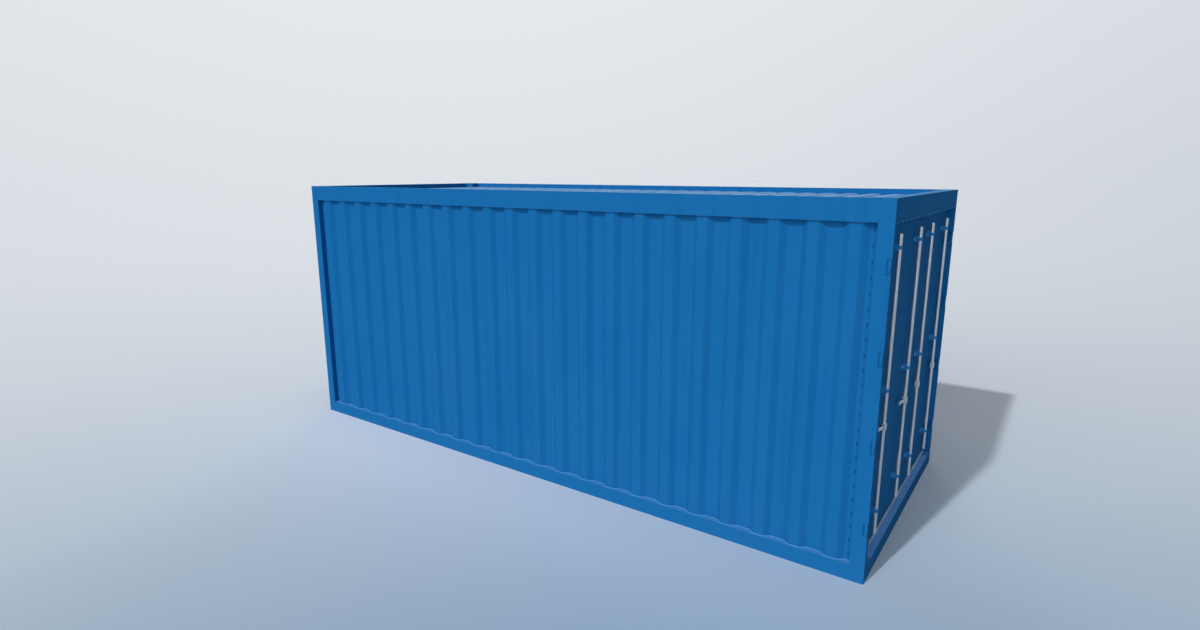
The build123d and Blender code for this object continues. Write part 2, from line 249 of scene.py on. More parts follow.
@dataclass(frozen=True)
class MarinePaint(Finish):
    """Sprayed acrylic container paint on steel.

    The eye sees an even, nearly matt blue: the film has chalked a little, so it has lost its gloss.
    Rain has left thin streaks and road spray has dulled the foot. Faces that look up are painted paler,
    partly as dust and partly as painted light and a painted reflection of the sky.

    Attributes:
        colour: The paint.
        bloom: The paint where it has chalked.
        chalk: Where it has chalked.
        rain: The paint in a streak.
        streaks: Where rain has run down.
        dust: The colour of the dust along the foot, and of the dust and painted light on faces that look
            up.
        dust_mm: The size of the dust's patches.
        upward_dust_and_painted_light: The most of that colour on a face that looks up, as dust and as
            painted light and sky reflection.
        painted_light_and_dust_from: How far up a face must look before it is painted paler, as its
            normal's upward part.
        spray: The share of dust at the foot.
        spray_reach: How high the dust of the foot reaches, in metres.
        peel_mm: The width of the dimples that spraying leaves, or of a casting's grain. Real orange
            peel is about 2 mm wide, too fine to show, so it is drawn coarser.
        peel_height_mm: The dimples' height.
        buckle_mm: The size of the waves in the sheet between its folds, along each axis.
        buckle_height_mm: Their height.
        roughness: The film's roughness where it is cleanest.
        dulling: How much rougher it is where it has chalked.
        gloss: The specular level. A chalked film's is below that of fresh paint, which is 0.5.
        rub_mm: How far from an edge the paint is rubbed thin, or 0 where no edge is rubbed.
        rub: The thin paint.
        rubbed_share: The most of the thin paint that shows.
    """

    colour: str = "1466A4"
    bloom: str = "266DA8"
    chalk: Clouds = Clouds((800, 800, 800), detail=4.0, start=0.42, full=0.70, most=0.22)
    rain: str = "075A93"
    streaks: Clouds = Clouds((55, 55, 1600), detail=4.0, start=0.52, full=0.75, most=0.30)
    # On faces that look up this colour is also painted light and a painted reflection of the sky.
    dust: str = "5CA2DA"
    dust_mm: float = 40.0
    upward_dust_and_painted_light: float = 0.45
    painted_light_and_dust_from: float = 0.6
    spray: float = 0.03
    spray_reach: float = 0.45
    peel_mm: float = 9.0
    peel_height_mm: float = 0.05
    buckle_mm: tuple[float, float, float] = (420.0, 420.0, 650.0)
    buckle_height_mm: float = 0.8
    roughness: float = 0.80
    dulling: float = 0.10
    gloss: float = 0.04
    rub_mm: float = 0.0
    rub: str = "5E8FBC"
    rubbed_share: float = 0.45

    def surface(self, tree: Tree, place: NodeSocket) -> dict:
        """Draws chalk, streaks, dust, painted light on faces that look up, rubbed edges and the film's
        relief.

        Args:
            tree: The material's tree.
            place: The object coordinates that the patterns read.

        Returns:
            The surface shader's inputs.
        """
        cloud, _, film = self.chalk.spread(tree, place, linear(self.colour), self.bloom)
        _, _, streaked = self.streaks.spread(tree, place, film, self.rain)
        speck = tree.add(
            "ShaderNodeTexNoise", {"Vector": place, "Scale": per_metre(self.dust_mm), "Detail": 6.0}
        )
        colour = tree.add(
            "ShaderNodeMix",
            {"Factor": self.dusty(tree, place, speck), "A": streaked, "B": linear(self.dust)},
            data_type="RGBA",
        )
        if self.rub_mm:
            colour = self.rubbed(tree, colour, speck)
        dulled = tree.add(
            "ShaderNodeMapRange",
            {
                "Value": cloud, "From Min": 0.3, "From Max": 0.7,
                "To Min": self.roughness, "To Max": self.roughness + self.dulling,
            },
        )
        return {
            "Base Color": colour, "Roughness": dulled, "IOR": 1.5, "Specular IOR Level": self.gloss,
            "Normal": self.relief(tree, place),
        }

    def dusty(self, tree: Tree, place: NodeSocket, speck: Node) -> Node:
        """Lays dust along the foot, and paints faces that look up paler, as dust and as painted light
        and sky reflection.

        Args:
            tree: The material's tree.
            place: The object coordinates.
            speck: The noise that makes the dust patchy.

        Returns:
            The share of the paler colour: dust, and on faces that look up also painted light.
        """
        patchy = tree.add(
            "ShaderNodeMapRange", {"Value": speck, "From Min": 0.35, "From Max": 0.65, "To Min": 0.85}
        )
        normal = tree.add("ShaderNodeNewGeometry").outputs["Normal"]
        upward = tree.add("ShaderNodeSeparateXYZ", {0: normal})
        # Faces that look up are painted paler: partly dust, partly painted light and sky reflection.
        dust_and_painted_light_on_top = tree.add(
            "ShaderNodeMapRange",
            {
                "Value": upward.outputs["Z"], "From Min": self.painted_light_and_dust_from, "From Max": 0.95,
                "To Max": self.upward_dust_and_painted_light,
            },
        )
        height = tree.add("ShaderNodeSeparateXYZ", {0: place})
        foot = tree.add(
            "ShaderNodeMapRange",
            {
                "Value": height.outputs["Z"], "From Max": self.spray_reach, "To Min": self.spray,
                "To Max": 0.0,
            },
        )
        cover = tree.add("ShaderNodeMath", {0: dust_and_painted_light_on_top, 1: foot}, operation="ADD")
        return tree.add("ShaderNodeMath", {0: cover, 1: patchy}, operation="MULTIPLY")

    def relief(self, tree: Tree, place: NodeSocket) -> Node:
        """Draws the dimples of the film and the waves in the sheet.

        Args:
            tree: The material's tree.
            place: The object coordinates.

        Returns:
            The normal.
        """
        peel = tree.add(
            "ShaderNodeTexNoise", {"Vector": place, "Scale": per_metre(self.peel_mm), "Detail": 2.0}
        )
        dimples = tree.add("ShaderNodeBump", {"Distance": self.peel_height_mm * MM, "Height": peel})
        sag = tree.add("ShaderNodeMapping", {"Vector": place, "Scale": per_metre_each(*self.buckle_mm)})
        buckle = tree.add("ShaderNodeTexNoise", {"Vector": sag, "Scale": 1.0, "Detail": 1.0})
        return tree.add(
            "ShaderNodeBump",
            {"Distance": self.buckle_height_mm * MM, "Height": buckle, "Normal": dimples},
        )

    def rubbed(self, tree: Tree, colour: Node, speck: Node) -> Node:
        """Lightens the paint along the steel's edges.

        Args:
            tree: The material's tree.
            colour: The paint's colour up to here.
            speck: The noise that makes the rubbing patchy.

        Returns:
            The colour with the rubbed edges.
        """
        rounded = tree.add("ShaderNodeBevel", {"Radius": self.rub_mm * MM})
        true = tree.add("ShaderNodeNewGeometry").outputs["True Normal"]
        flatness = tree.add("ShaderNodeVectorMath", {0: rounded, 1: true}, operation="DOT_PRODUCT")
        edge = tree.add(
            "ShaderNodeMapRange",
            {
                "Value": flatness.outputs["Value"], "From Min": 0.97, "From Max": 0.80,
                "To Max": self.rubbed_share,
            },
        )
        patches = tree.add("ShaderNodeMapRange", {"Value": speck, "From Min": 0.4, "From Max": 0.6})
        share = tree.add("ShaderNodeMath", {0: edge, 1: patches}, operation="MULTIPLY")
        return tree.add(
            "ShaderNodeMix", {"Factor": share, "A": colour, "B": linear(self.rub)}, data_type="RGBA"
        )


@dataclass(frozen=True)
class Galvanising(Finish):
    """Hot-dip zinc on steel.

    The eye sees a pale grey metal with crystals of slightly different brightness, dulled by a
    thin white bloom.

    Attributes:
        bright: The brightest crystals.
        dull: The darkest crystals.
        crystal_mm: The crystals' size.
        bloom: The zinc where it has gone white.
        white: Where it has gone white.
        relief_mm: How far the crystals stand up.
    """

    bright: str = "C9CED3"
    dull: str = "B9BFC5"
    crystal_mm: float = 14.0
    bloom: str = "C9CCCE"
    white: Clouds = Clouds((40, 40, 160), detail=4.0, start=0.5, full=0.75, most=0.35)
    relief_mm: float = 0.01

    def surface(self, tree: Tree, place: NodeSocket) -> dict:
        """Draws the crystals and the bloom.

        Args:
            tree: The material's tree.
            place: The object coordinates that the patterns read.

        Returns:
            The surface shader's inputs.
        """
        crystals = tree.add(
            "ShaderNodeTexVoronoi", {"Vector": place, "Scale": per_metre(self.crystal_mm)}
        )
        tone = tree.add("ShaderNodeSeparateColor", {"Color": crystals.outputs["Color"]})
        spangle = tree.add(
            "ShaderNodeMix", {"Factor": tone, "A": linear(self.dull), "B": linear(self.bright)},
            data_type="RGBA",
        )
        _, white, colour = self.white.spread(tree, place, spangle, self.bloom)
        base = tree.add("ShaderNodeMapRange", {"Value": tone, "To Min": 0.46, "To Max": 0.38})
        rough = tree.add("ShaderNodeMath", {0: base, 1: white}, operation="ADD")
        relief = tree.add("ShaderNodeBump", {"Distance": self.relief_mm * MM, "Height": tone})
        return {"Base Color": colour, "Metallic": 1.0, "Roughness": rough, "Normal": relief}


@dataclass(frozen=True)
class WhiteRust(Finish):
    """Hot-dip zinc that has stood wet and gone white all over.

    The eye sees a dull, nearly white crust, with greyer patches where feet and loads rub it.

    Attributes:
        crust: The white crust, painted paler and bluer than white rust as painted light.
        worn: The rubbed patches.
        patches: Where it is rubbed.
        relief_mm: The crust's grit.
    """

    # The crust is paler and bluer than bare white rust, as painted light.
    crust: str = "BACDE2"
    worn: str = "9AA3AD"
    patches: Clouds = Clouds((90, 90, 90), detail=5.0, start=0.45, full=0.65, most=0.7)
    relief_mm: float = 0.2

    def surface(self, tree: Tree, place: NodeSocket) -> dict:
        """Draws the crust and the rubbed patches.

        Args:
            tree: The material's tree.
            place: The object coordinates that the patterns read.

        Returns:
            The surface shader's inputs.
        """
        grit, _, colour = self.patches.spread(tree, place, linear(self.crust), self.worn)
        relief = tree.add("ShaderNodeBump", {"Distance": self.relief_mm * MM, "Height": grit})
        rough = tree.add("ShaderNodeMapRange", {"Value": grit, "To Min": 0.85, "To Max": 0.6})
        return {"Base Color": colour, "Roughness": rough, "IOR": 1.5, "Normal": relief}


@dataclass(frozen=True)
class SealRubber(Finish):
    """Extruded EPDM rubber.

    The eye sees a soft matt black that has greyed a little, with fine drag lines.

    Attributes:
        colour: The rubber.
        greyed: The rubber where dust and weather have paled it.
        weather: Where they have.
        drag_mm: The drag lines' spacing.
        relief_mm: Their height.
    """

    colour: str = "1E1F21"
    greyed: str = "3A3B3D"
    weather: Clouds = Clouds((150, 150, 150), detail=3.0, start=0.4, full=0.7, most=0.6)
    drag_mm: float = 6.0
    relief_mm: float = 0.1

    def surface(self, tree: Tree, place: NodeSocket) -> dict:
        """Draws the greying and the drag lines.

        Args:
            tree: The material's tree.
            place: The object coordinates that the patterns read.

        Returns:
            The surface shader's inputs.
        """
        weather, _, colour = self.weather.spread(tree, place, linear(self.colour), self.greyed)
        drag = tree.add(
            "ShaderNodeTexNoise", {"Vector": place, "Scale": per_metre(self.drag_mm), "Detail": 4.0}
        )
        relief = tree.add("ShaderNodeBump", {"Distance": self.relief_mm * MM, "Height": drag})
        rough = tree.add("ShaderNodeMapRange", {"Value": weather, "To Min": 0.5, "To Max": 0.75})
        return {"Base Color": colour, "Roughness": rough, "IOR": 1.52, "Normal": relief}


@dataclass(frozen=True)
class FloorPlywood(Finish):
    """Sealed hardwood plywood.

    The eye sees a warm brown with long grain, a different tone on each panel, and paler scuffs
    along the way that loads are pushed in.

    Attributes:
        dark: The grain's dark lines.
        light: The wood between them.
        grain_mm: The grain's length and its two widths.
        shift: How far a panel's tone lies from the middle one, at most.
        scuff: The wood where the seal has worn through.
        scuffs: Where it has.
        relief_mm: The grain's height.
        tone: The attribute that holds each panel's own tone.
    """

    dark: str = "6E472C"
    light: str = "9A6D47"
    grain_mm: tuple[float, float, float] = (420.0, 7.0, 7.0)
    shift: float = 0.18
    scuff: str = "B08C69"
    scuffs: Clouds = Clouds((1600, 90, 90), detail=4.0, start=0.55, full=0.75, most=0.5)
    relief_mm: float = 0.25
    tone: str = "panel_tone"

    def surface(self, tree: Tree, place: NodeSocket) -> dict:
        """Draws the grain, the panels' tones and the scuffs.

        Args:
            tree: The material's tree.
            place: The object coordinates that the patterns read.

        Returns:
            The surface shader's inputs.
        """
        fibre = tree.add("ShaderNodeMapping", {"Vector": place, "Scale": per_metre_each(*self.grain_mm)})
        grain = tree.add("ShaderNodeTexNoise", {"Vector": fibre, "Scale": 1.0, "Detail": 5.0})
        panel = tree.add("ShaderNodeAttribute", attribute_name=self.tone)
        shift = tree.add(
            "ShaderNodeMapRange",
            {"Value": panel.outputs["Fac"], "To Min": -self.shift, "To Max": self.shift},
        )
        shifted = tree.add("ShaderNodeMath", {0: grain, 1: shift}, operation="ADD")
        share = tree.add("ShaderNodeMapRange", {"Value": shifted, "From Min": 0.3, "From Max": 0.7})
        wood = tree.add(
            "ShaderNodeMix", {"Factor": share, "A": linear(self.dark), "B": linear(self.light)},
            data_type="RGBA",
        )
        worn, _, colour = self.scuffs.spread(tree, place, wood, self.scuff)
        relief = tree.add("ShaderNodeBump", {"Distance": self.relief_mm * MM, "Height": grain})
        rough = tree.add(
            "ShaderNodeMapRange",
            {"Value": worn, "From Min": 0.4, "From Max": 0.7, "To Min": 0.45, "To Max": 0.7},
        )
        return {"Base Color": colour, "Roughness": rough, "IOR": 1.5, "Normal": relief}


@dataclass(frozen=True)
class WaxCoat(Finish):
    """The brushed wax and bitumen coat on the steel below the floor.

    The eye sees a nearly black, lumpy, dull film with dust in its hollows.

    Attributes:
        colour: The coat.
        dusty: The coat where dust has stuck.
        lump_mm: The lumps' size.
        relief_mm: The lumps' height.
    """

    colour: str = "1B2530"
    dusty: str = "3E464D"
    lump_mm: float = 24.0
    relief_mm: float = 0.8

    def surface(self, tree: Tree, place: NodeSocket) -> dict:
        """Draws the lumps and the dust.

        Args:
            tree: The material's tree.
            place: The object coordinates that the patterns read.

        Returns:
            The surface shader's inputs.
        """
        lumps = tree.add(
            "ShaderNodeTexNoise", {"Vector": place, "Scale": per_metre(self.lump_mm), "Detail": 3.0}
        )
        hollow = tree.add(
            "ShaderNodeMapRange",
            {"Value": lumps, "From Min": 0.4, "From Max": 0.65, "To Min": 0.6, "To Max": 0.0},
        )
        colour = tree.add(
            "ShaderNodeMix", {"Factor": hollow, "A": linear(self.colour), "B": linear(self.dusty)},
            data_type="RGBA",
        )
        relief = tree.add("ShaderNodeBump", {"Distance": self.relief_mm * MM, "Height": lumps})
        rough = tree.add("ShaderNodeMapRange", {"Value": lumps, "To Min": 0.8, "To Max": 0.55})
        return {"Base Color": colour, "Roughness": rough, "IOR": 1.45, "Normal": relief}


def made(finish: Finish) -> Material:
    """A dataclass field that holds the finish's material, made along with the object."""
    return field(default_factory=finish.make)


@dataclass
class Finishes:
    """Every finish of the container, made once.

    Sheet, sections, castings, fittings and welds wear one blue paint and differ in the steel below it
    and the wear on it. Some are painted lighter or darker as painted light and shade: the roof, the
    sill, the brackets, the sealer and the weld stitches.

    Attributes:
        sheet_paint: On the sheets of the walls and the leaves.
        roof_paint: On the roof, painted paler on what looks up, as dust and a painted reflection of the
            sky.
        section_paint: On the rails, the posts and the leaves' frames.
        sill_paint: On the door sill, painted paler on its top, as dust and as painted light.
        casting_paint: On the corner blocks.
        fitting_paint: On the hinges and their rivets.
        bracket_paint_with_painted_light: On the rods' saddles and clips, in a paler blue as painted
            light.
        weld_paint_darkened_as_painted_shade: On the stitches along the posts, in a darker blue as
            painted shade.
        sealer: On the beads along the walls, in a paler blue as painted light.
        pale_sealer: On the stitches under the header, paler still, as painted light.
        zinc: The lock rods.
        threshold_zinc_with_painted_light: The threshold, painted pale and blue as white rust and as
            painted light.
        bolt_zinc: The bolts and the floor's screws.
        rubber: The doors' seals.
        plywood: The floor.
        wax: On the cross members.
    """

    sheet_paint: Material = made(MarinePaint("paint_on_folded_sheet"))
    # The roof is painted pale on every face that looks up: partly dust, partly a painted reflection of
    # the sky.
    roof_paint: Material = made(
        MarinePaint("paint_on_roof_with_dust_and_painted_sky", upward_dust_and_painted_light=0.90, painted_light_and_dust_from=0.1, dust="88B6E4")
    )
    section_paint: Material = made(MarinePaint("paint_on_rolled_section", buckle_height_mm=0.2))
    # The sill's top is painted pale and blue: partly dust, partly painted light.
    sill_paint: Material = made(
        MarinePaint("paint_on_trodden_sill", buckle_height_mm=0.2, upward_dust_and_painted_light=0.95, dust="68A8EC")
    )
    casting_paint: Material = made(
        MarinePaint("paint_on_cast_steel", peel_mm=5, peel_height_mm=0.25, buckle_height_mm=0.1)
    )
    fitting_paint: Material = made(
        MarinePaint("paint_on_small_fittings", peel_mm=4, buckle_height_mm=0.05, rub_mm=3)
    )
    # The saddles and clips wear a paler blue, as painted light on them.
    bracket_paint_with_painted_light: Material = made(MarinePaint(
        "paint_on_brackets_paled_as_painted_light", colour="2A7FC4", bloom="3A8ACB", rain="2377BA",
        peel_mm=4, buckle_height_mm=0.05, rub_mm=3,
    ))
    # The stitches at the posts wear a darker blue, as painted shade along the joint.
    weld_paint_darkened_as_painted_shade: Material = made(MarinePaint(
        "paint_on_weld_bead", colour="0D5590", bloom="195C96", rain="0B4D84",
        peel_mm=4, peel_height_mm=0.6, buckle_height_mm=0.05,
    ))
    # The beads along the walls wear a paler blue, as painted light along the rails' edges.
    sealer: Material = made(MarinePaint(
        "paint_on_seam_sealer", colour="4A8AC2", bloom="5F98CA", rain="3F7FB8",
        peel_mm=6, peel_height_mm=0.4, buckle_height_mm=0.05,
    ))
    # The stitches under the header wear a pale blue, as painted light under the header.
    pale_sealer: Material = made(MarinePaint(
        "header_sealer_paled_as_painted_light", colour="62A6E6", bloom="74B2E8", rain="589CDA",
        peel_mm=6, peel_height_mm=0.4, buckle_height_mm=0.05,
    ))
    zinc: Material = made(Galvanising("hot_dip_zinc"))
    threshold_zinc_with_painted_light: Material = made(WhiteRust("white_rust_on_zinc_with_painted_light"))
    bolt_zinc: Material = made(
        Galvanising("plated_fastener_zinc", bright="B9BEC2", dull="8F959A", crystal_mm=6)
    )
    rubber: Material = made(SealRubber("extruded_epdm"))
    plywood: Material = made(FloorPlywood("sealed_plywood"))
    wax: Material = made(WaxCoat("underside_wax"))


# Geometry trees for what repeats or follows a rule


class GrowthTree(Tree):
    """A Geometry Nodes tree with named inputs that ends in one mesh of one material."""

    def __init__(self, name: str, inputs: dict[str, Socket], output: str = "Mesh") -> None:
        """Starts the tree.

        Args:
            name: The tree's name.
            inputs: The kind of each named input.
            output: The name of its output.
        """
        super().__init__(bpy.data.node_groups.new(name, "GeometryNodeTree"))
        for label, kind in inputs.items():
            self.group.interface.new_socket(label, in_out="INPUT", socket_type=kind.value)
        self.group.interface.new_socket(output, in_out="OUTPUT", socket_type=Socket.GEOMETRY.value)
        self.given = self.add("NodeGroupInput").outputs

    def output(self, geometry: Node) -> NodeTree:
        """Ends the tree with what it is given, unchanged, and returns it."""
        self.add("NodeGroupOutput", {0: geometry})
        return self.group

    def close(self, geometry: Node) -> NodeTree:
        """Makes instances real, gives the mesh its material and ends the tree.

        Args:
            geometry: The node that gives the geometry.

        Returns:
            The tree.
        """
        real = self.add("GeometryNodeRealizeInstances", {"Geometry": geometry})
        return self.output(
            self.add("GeometryNodeSetMaterial", {"Geometry": real, "Material": self.given["Material"]})
        )


CORNERS = 4  # of one wave
BEND_POINTS = 3  # that round each corner
CORRUGATION = {
    "Run": Socket.FLOAT, "Waves": Socket.COUNT, "Depth": Socket.FLOAT, "Slope": Socket.FLOAT,
    "Crest": Socket.FLOAT, "Bend": Socket.FLOAT,
}


def corrugation_path() -> NodeTree:
    """Builds the tree that draws a trapezoid wave along X with rounded bends.

    The wave starts and ends in a half trough at y = Depth, and its crests lie at y = 0. A wave has
    four corners, numbered 0 to 3 from trough to crest to crest to trough.

    Returns:
        The tree.
    """
    tree = GrowthTree("corrugation_path", CORRUGATION, "Path")
    given = tree.given
    index = tree.add("GeometryNodeInputIndex")
    step = tree.add("ShaderNodeMath", {0: index, 1: 1.0}, operation="SUBTRACT")
    wave = tree.add("ShaderNodeMath", {0: step, 1: CORNERS}, operation="DIVIDE")
    wave = tree.add("ShaderNodeMath", {0: wave}, operation="FLOOR")
    corner = tree.add("ShaderNodeMath", {0: step, 1: CORNERS}, operation="FLOORED_MODULO")
    corner = tree.add("ShaderNodeMath", {0: corner, 1: (CORNERS - 1) / 2}, operation="SUBTRACT")
    in_trough = tree.add("ShaderNodeMath", {0: corner}, operation="ABSOLUTE")
    in_trough = tree.add("ShaderNodeMath", {0: in_trough, 1: 1.0}, operation="GREATER_THAN")
    half_crest = tree.add("ShaderNodeMath", {0: given["Crest"], 1: 0.5}, operation="MULTIPLY")
    reach = tree.add(
        "ShaderNodeMath", {0: in_trough, 1: given["Slope"], 2: half_crest}, operation="MULTIPLY_ADD"
    )
    pitch = tree.add("ShaderNodeMath", {0: given["Run"], 1: given["Waves"]}, operation="DIVIDE")
    middle = tree.add("ShaderNodeMath", {0: wave, 1: 0.5}, operation="ADD")
    middle = tree.add("ShaderNodeMath", {0: middle, 1: pitch}, operation="MULTIPLY")
    way = tree.add("ShaderNodeMath", {0: corner}, operation="SIGN")
    along = tree.add("ShaderNodeMath", {0: way, 1: reach, 2: middle}, operation="MULTIPLY_ADD")
    held = tree.add("ShaderNodeClamp", {"Value": along, "Min": 0.0, "Max": given["Run"]})
    inward = tree.add("ShaderNodeMath", {0: in_trough, 1: given["Depth"]}, operation="MULTIPLY")
    place = tree.add("ShaderNodeCombineXYZ", {"X": held, "Y": inward})
    number = tree.add(
        "ShaderNodeMath", {0: given["Waves"], 1: CORNERS, 2: 2.0}, operation="MULTIPLY_ADD"
    )
    corners = tree.add("GeometryNodeMeshLine", {"Count": number})
    folded = tree.add("GeometryNodeSetPosition", {"Geometry": corners, "Position": place})
    line = tree.add("GeometryNodeMeshToCurve", {"Mesh": folded})
    return tree.output(
        tree.add(
            "GeometryNodeFilletCurve",
            {"Curve": line, "Count": BEND_POINTS, "Radius": given["Bend"], "Limit Radius": True},
            mode="POLY",
        )
    )


def corrugated(tree: GrowthTree, path: NodeTree) -> Node:
    """Adds the corrugation's path to a tree that has the same named inputs.

    Args:
        tree: The tree.
        path: The path's own tree.

    Returns:
        The node whose output is the path's curve.
    """
    group = tree.add("GeometryNodeGroup", node_tree=path)
    for label in CORRUGATION:
        tree.group.links.new(tree.given[label], group.inputs[label])
    return group


def sheet_tree(path: NodeTree) -> NodeTree:
    """Builds the tree that raises the corrugation's path into a thin sheet.

    Args:
        path: The path's tree.

    Returns:
        The tree.
    """
    inputs = {**CORRUGATION, "Width": Socket.FLOAT, "Material": Socket.MATERIAL}
    tree = GrowthTree("folded_sheet", inputs)
    edge = tree.add("GeometryNodeCurveToMesh", {"Curve": corrugated(tree, path)})
    up = tree.add("ShaderNodeCombineXYZ", {"Z": tree.given["Width"]})
    return tree.close(tree.add("GeometryNodeExtrudeMesh", {"Mesh": edge, "Offset": up}, mode="EDGES"))


def bead_tree(path: NodeTree) -> NodeTree:
    """Builds the tree that lays a bead of sealer along the corrugation's path.

    Args:
        path: The path's tree.

    Returns:
        The tree.
    """
    inputs = {**CORRUGATION, "Radius": Socket.FLOAT, "Material": Socket.MATERIAL}
    tree = GrowthTree("corrugated_seam", inputs)
    size = {"Resolution": 6, "Radius": tree.given["Radius"]}
    ring = tree.add("GeometryNodeCurvePrimitiveCircle", size)
    return tree.close(
        tree.add(
            "GeometryNodeCurveToMesh",
            {"Curve": corrugated(tree, path), "Profile Curve": ring, "Fill Caps": True},
        )
    )


def stitch_tree() -> NodeTree:
    """Builds the tree that sets short weld stitches along X.

    Returns:
        The tree.
    """
    inputs = {
        "Run": Socket.FLOAT, "Count": Socket.COUNT, "Length": Socket.FLOAT, "Radius": Socket.FLOAT,
        "Material": Socket.MATERIAL,
    }
    tree = GrowthTree("stitch_weld", inputs)
    given = tree.given
    step = tree.add("ShaderNodeMath", {0: given["Run"], 1: given["Count"]}, operation="DIVIDE")
    first = tree.add("ShaderNodeMath", {0: step, 1: 0.5}, operation="MULTIPLY")
    row = tree.add(
        "GeometryNodeMeshLine",
        {
            "Count": given["Count"],
            "Start Location": tree.add("ShaderNodeCombineXYZ", {"X": first}),
            "Offset": tree.add("ShaderNodeCombineXYZ", {"X": step}),
        },
    )
    drop = tree.add("GeometryNodeMeshUVSphere", {"Segments": 8, "Rings": 6, "Radius": 1.0})
    half = tree.add("ShaderNodeMath", {0: given["Length"], 1: 0.5}, operation="MULTIPLY")
    shape = tree.add("ShaderNodeCombineXYZ", {"X": half, "Y": given["Radius"], "Z": given["Radius"]})
    return tree.close(
        tree.add("GeometryNodeInstanceOnPoints", {"Points": row, "Instance": drop, "Scale": shape})
    )


def fastener_tree(head: Head) -> NodeTree:
    """Builds the tree that sets one form of fastener head on each point it is given.

    A point's attribute named facing says which way its head looks.

    Args:
        head: The form of the head.

    Returns:
        The tree.
    """
    inputs = {
        "Points": Socket.GEOMETRY, "Radius": Socket.FLOAT, "Height": Socket.FLOAT,
        "Material": Socket.MATERIAL,
    }
    tree = GrowthTree(f"{head.value}_head", inputs)
    given = tree.given
    if head is Head.DOME:
        size = {"Segments": 12, "Rings": 6, "Radius": given["Radius"]}
        ball = tree.add("GeometryNodeMeshUVSphere", size)
        flat = tree.add("ShaderNodeMath", {0: given["Height"], 1: given["Radius"]}, operation="DIVIDE")
        squeeze = tree.add("ShaderNodeCombineXYZ", {"X": 1.0, "Y": 1.0, "Z": flat})
        shape = tree.add("GeometryNodeTransform", {"Geometry": ball, "Scale": squeeze})
    else:
        body = tree.add(
            "GeometryNodeMeshCylinder",
            {
                "Vertices": 6 if head is Head.HEXAGON else 12, "Radius": given["Radius"],
                "Depth": given["Height"],
            },
        )
        half = tree.add("ShaderNodeMath", {0: given["Height"], 1: 0.5}, operation="MULTIPLY")
        lift = tree.add("ShaderNodeCombineXYZ", {"Z": half})
        shape = tree.add("GeometryNodeTransform", {"Geometry": body, "Translation": lift})
    if head is Head.HEXAGON:
        reach = tree.add("ShaderNodeMath", {0: given["Radius"], 1: WASHER_REACH}, operation="MULTIPLY")
        washer = tree.add(
            "GeometryNodeMeshCylinder", {"Vertices": 16, "Radius": reach, "Depth": half}
        )
        joined = tree.add("GeometryNodeJoinGeometry", {"Geometry": shape})
        tree.group.links.new(washer.outputs["Mesh"], joined.inputs["Geometry"])
        shape = joined
    facing = tree.add("GeometryNodeInputNamedAttribute", {"Name": "facing"}, data_type="FLOAT_VECTOR")
    turn = tree.add("FunctionNodeAlignRotationToVector", {"Vector": facing}, axis="Z")
    return tree.close(
        tree.add(
            "GeometryNodeInstanceOnPoints",
            {"Points": given["Points"], "Instance": shape, "Rotation": turn},
        )
    )


def panel_tree() -> NodeTree:
    """Builds the tree that lays floor panels in a grid, each with a tone of its own.

    Returns:
        The tree.
    """
    inputs = {
        "Length": Socket.FLOAT, "Width": Socket.FLOAT, "Thickness": Socket.FLOAT, "Gap": Socket.FLOAT,
        "Rows": Socket.COUNT, "Columns": Socket.COUNT, "Seed": Socket.COUNT, "Material": Socket.MATERIAL,
    }
    tree = GrowthTree("floor_panels", inputs)
    given = tree.given
    long = tree.add("ShaderNodeMath", {0: given["Length"], 1: given["Rows"]}, operation="DIVIDE")
    wide = tree.add("ShaderNodeMath", {0: given["Width"], 1: given["Columns"]}, operation="DIVIDE")
    grid = tree.add(
        "GeometryNodeMeshGrid",
        {
            "Size X": tree.add("ShaderNodeMath", {0: given["Length"], 1: long}, operation="SUBTRACT"),
            "Size Y": tree.add("ShaderNodeMath", {0: given["Width"], 1: wide}, operation="SUBTRACT"),
            "Vertices X": given["Rows"], "Vertices Y": given["Columns"],
        },
    )
    size = tree.add(
        "ShaderNodeCombineXYZ",
        {
            "X": tree.add("ShaderNodeMath", {0: long, 1: given["Gap"]}, operation="SUBTRACT"),
            "Y": tree.add("ShaderNodeMath", {0: wide, 1: given["Gap"]}, operation="SUBTRACT"),
            "Z": given["Thickness"],
        },
    )
    panel = tree.add("GeometryNodeMeshCube", {"Size": size})
    laid = tree.add("GeometryNodeInstanceOnPoints", {"Points": grid, "Instance": panel})
    tone = tree.add("FunctionNodeRandomValue", {"Seed": given["Seed"]}, data_type="FLOAT")
    return tree.close(
        tree.add(
            "GeometryNodeStoreNamedAttribute",
            {"Geometry": laid, "Name": FloorPlywood.tone, "Value": tone},
            data_type="FLOAT", domain="INSTANCE",
        )
    )


# Making and placing pieces


def new_piece(name: str, mesh: Mesh | None = None) -> Object:
    """Makes an object in the scene at the origin.

    Args:
        name: The piece's name.
        mesh: Its mesh, or None for an empty one.

    Returns:
        The object.
    """
    piece = bpy.data.objects.new(name, mesh or bpy.data.meshes.new(name))
    bpy.context.scene.collection.objects.link(piece)
    return piece


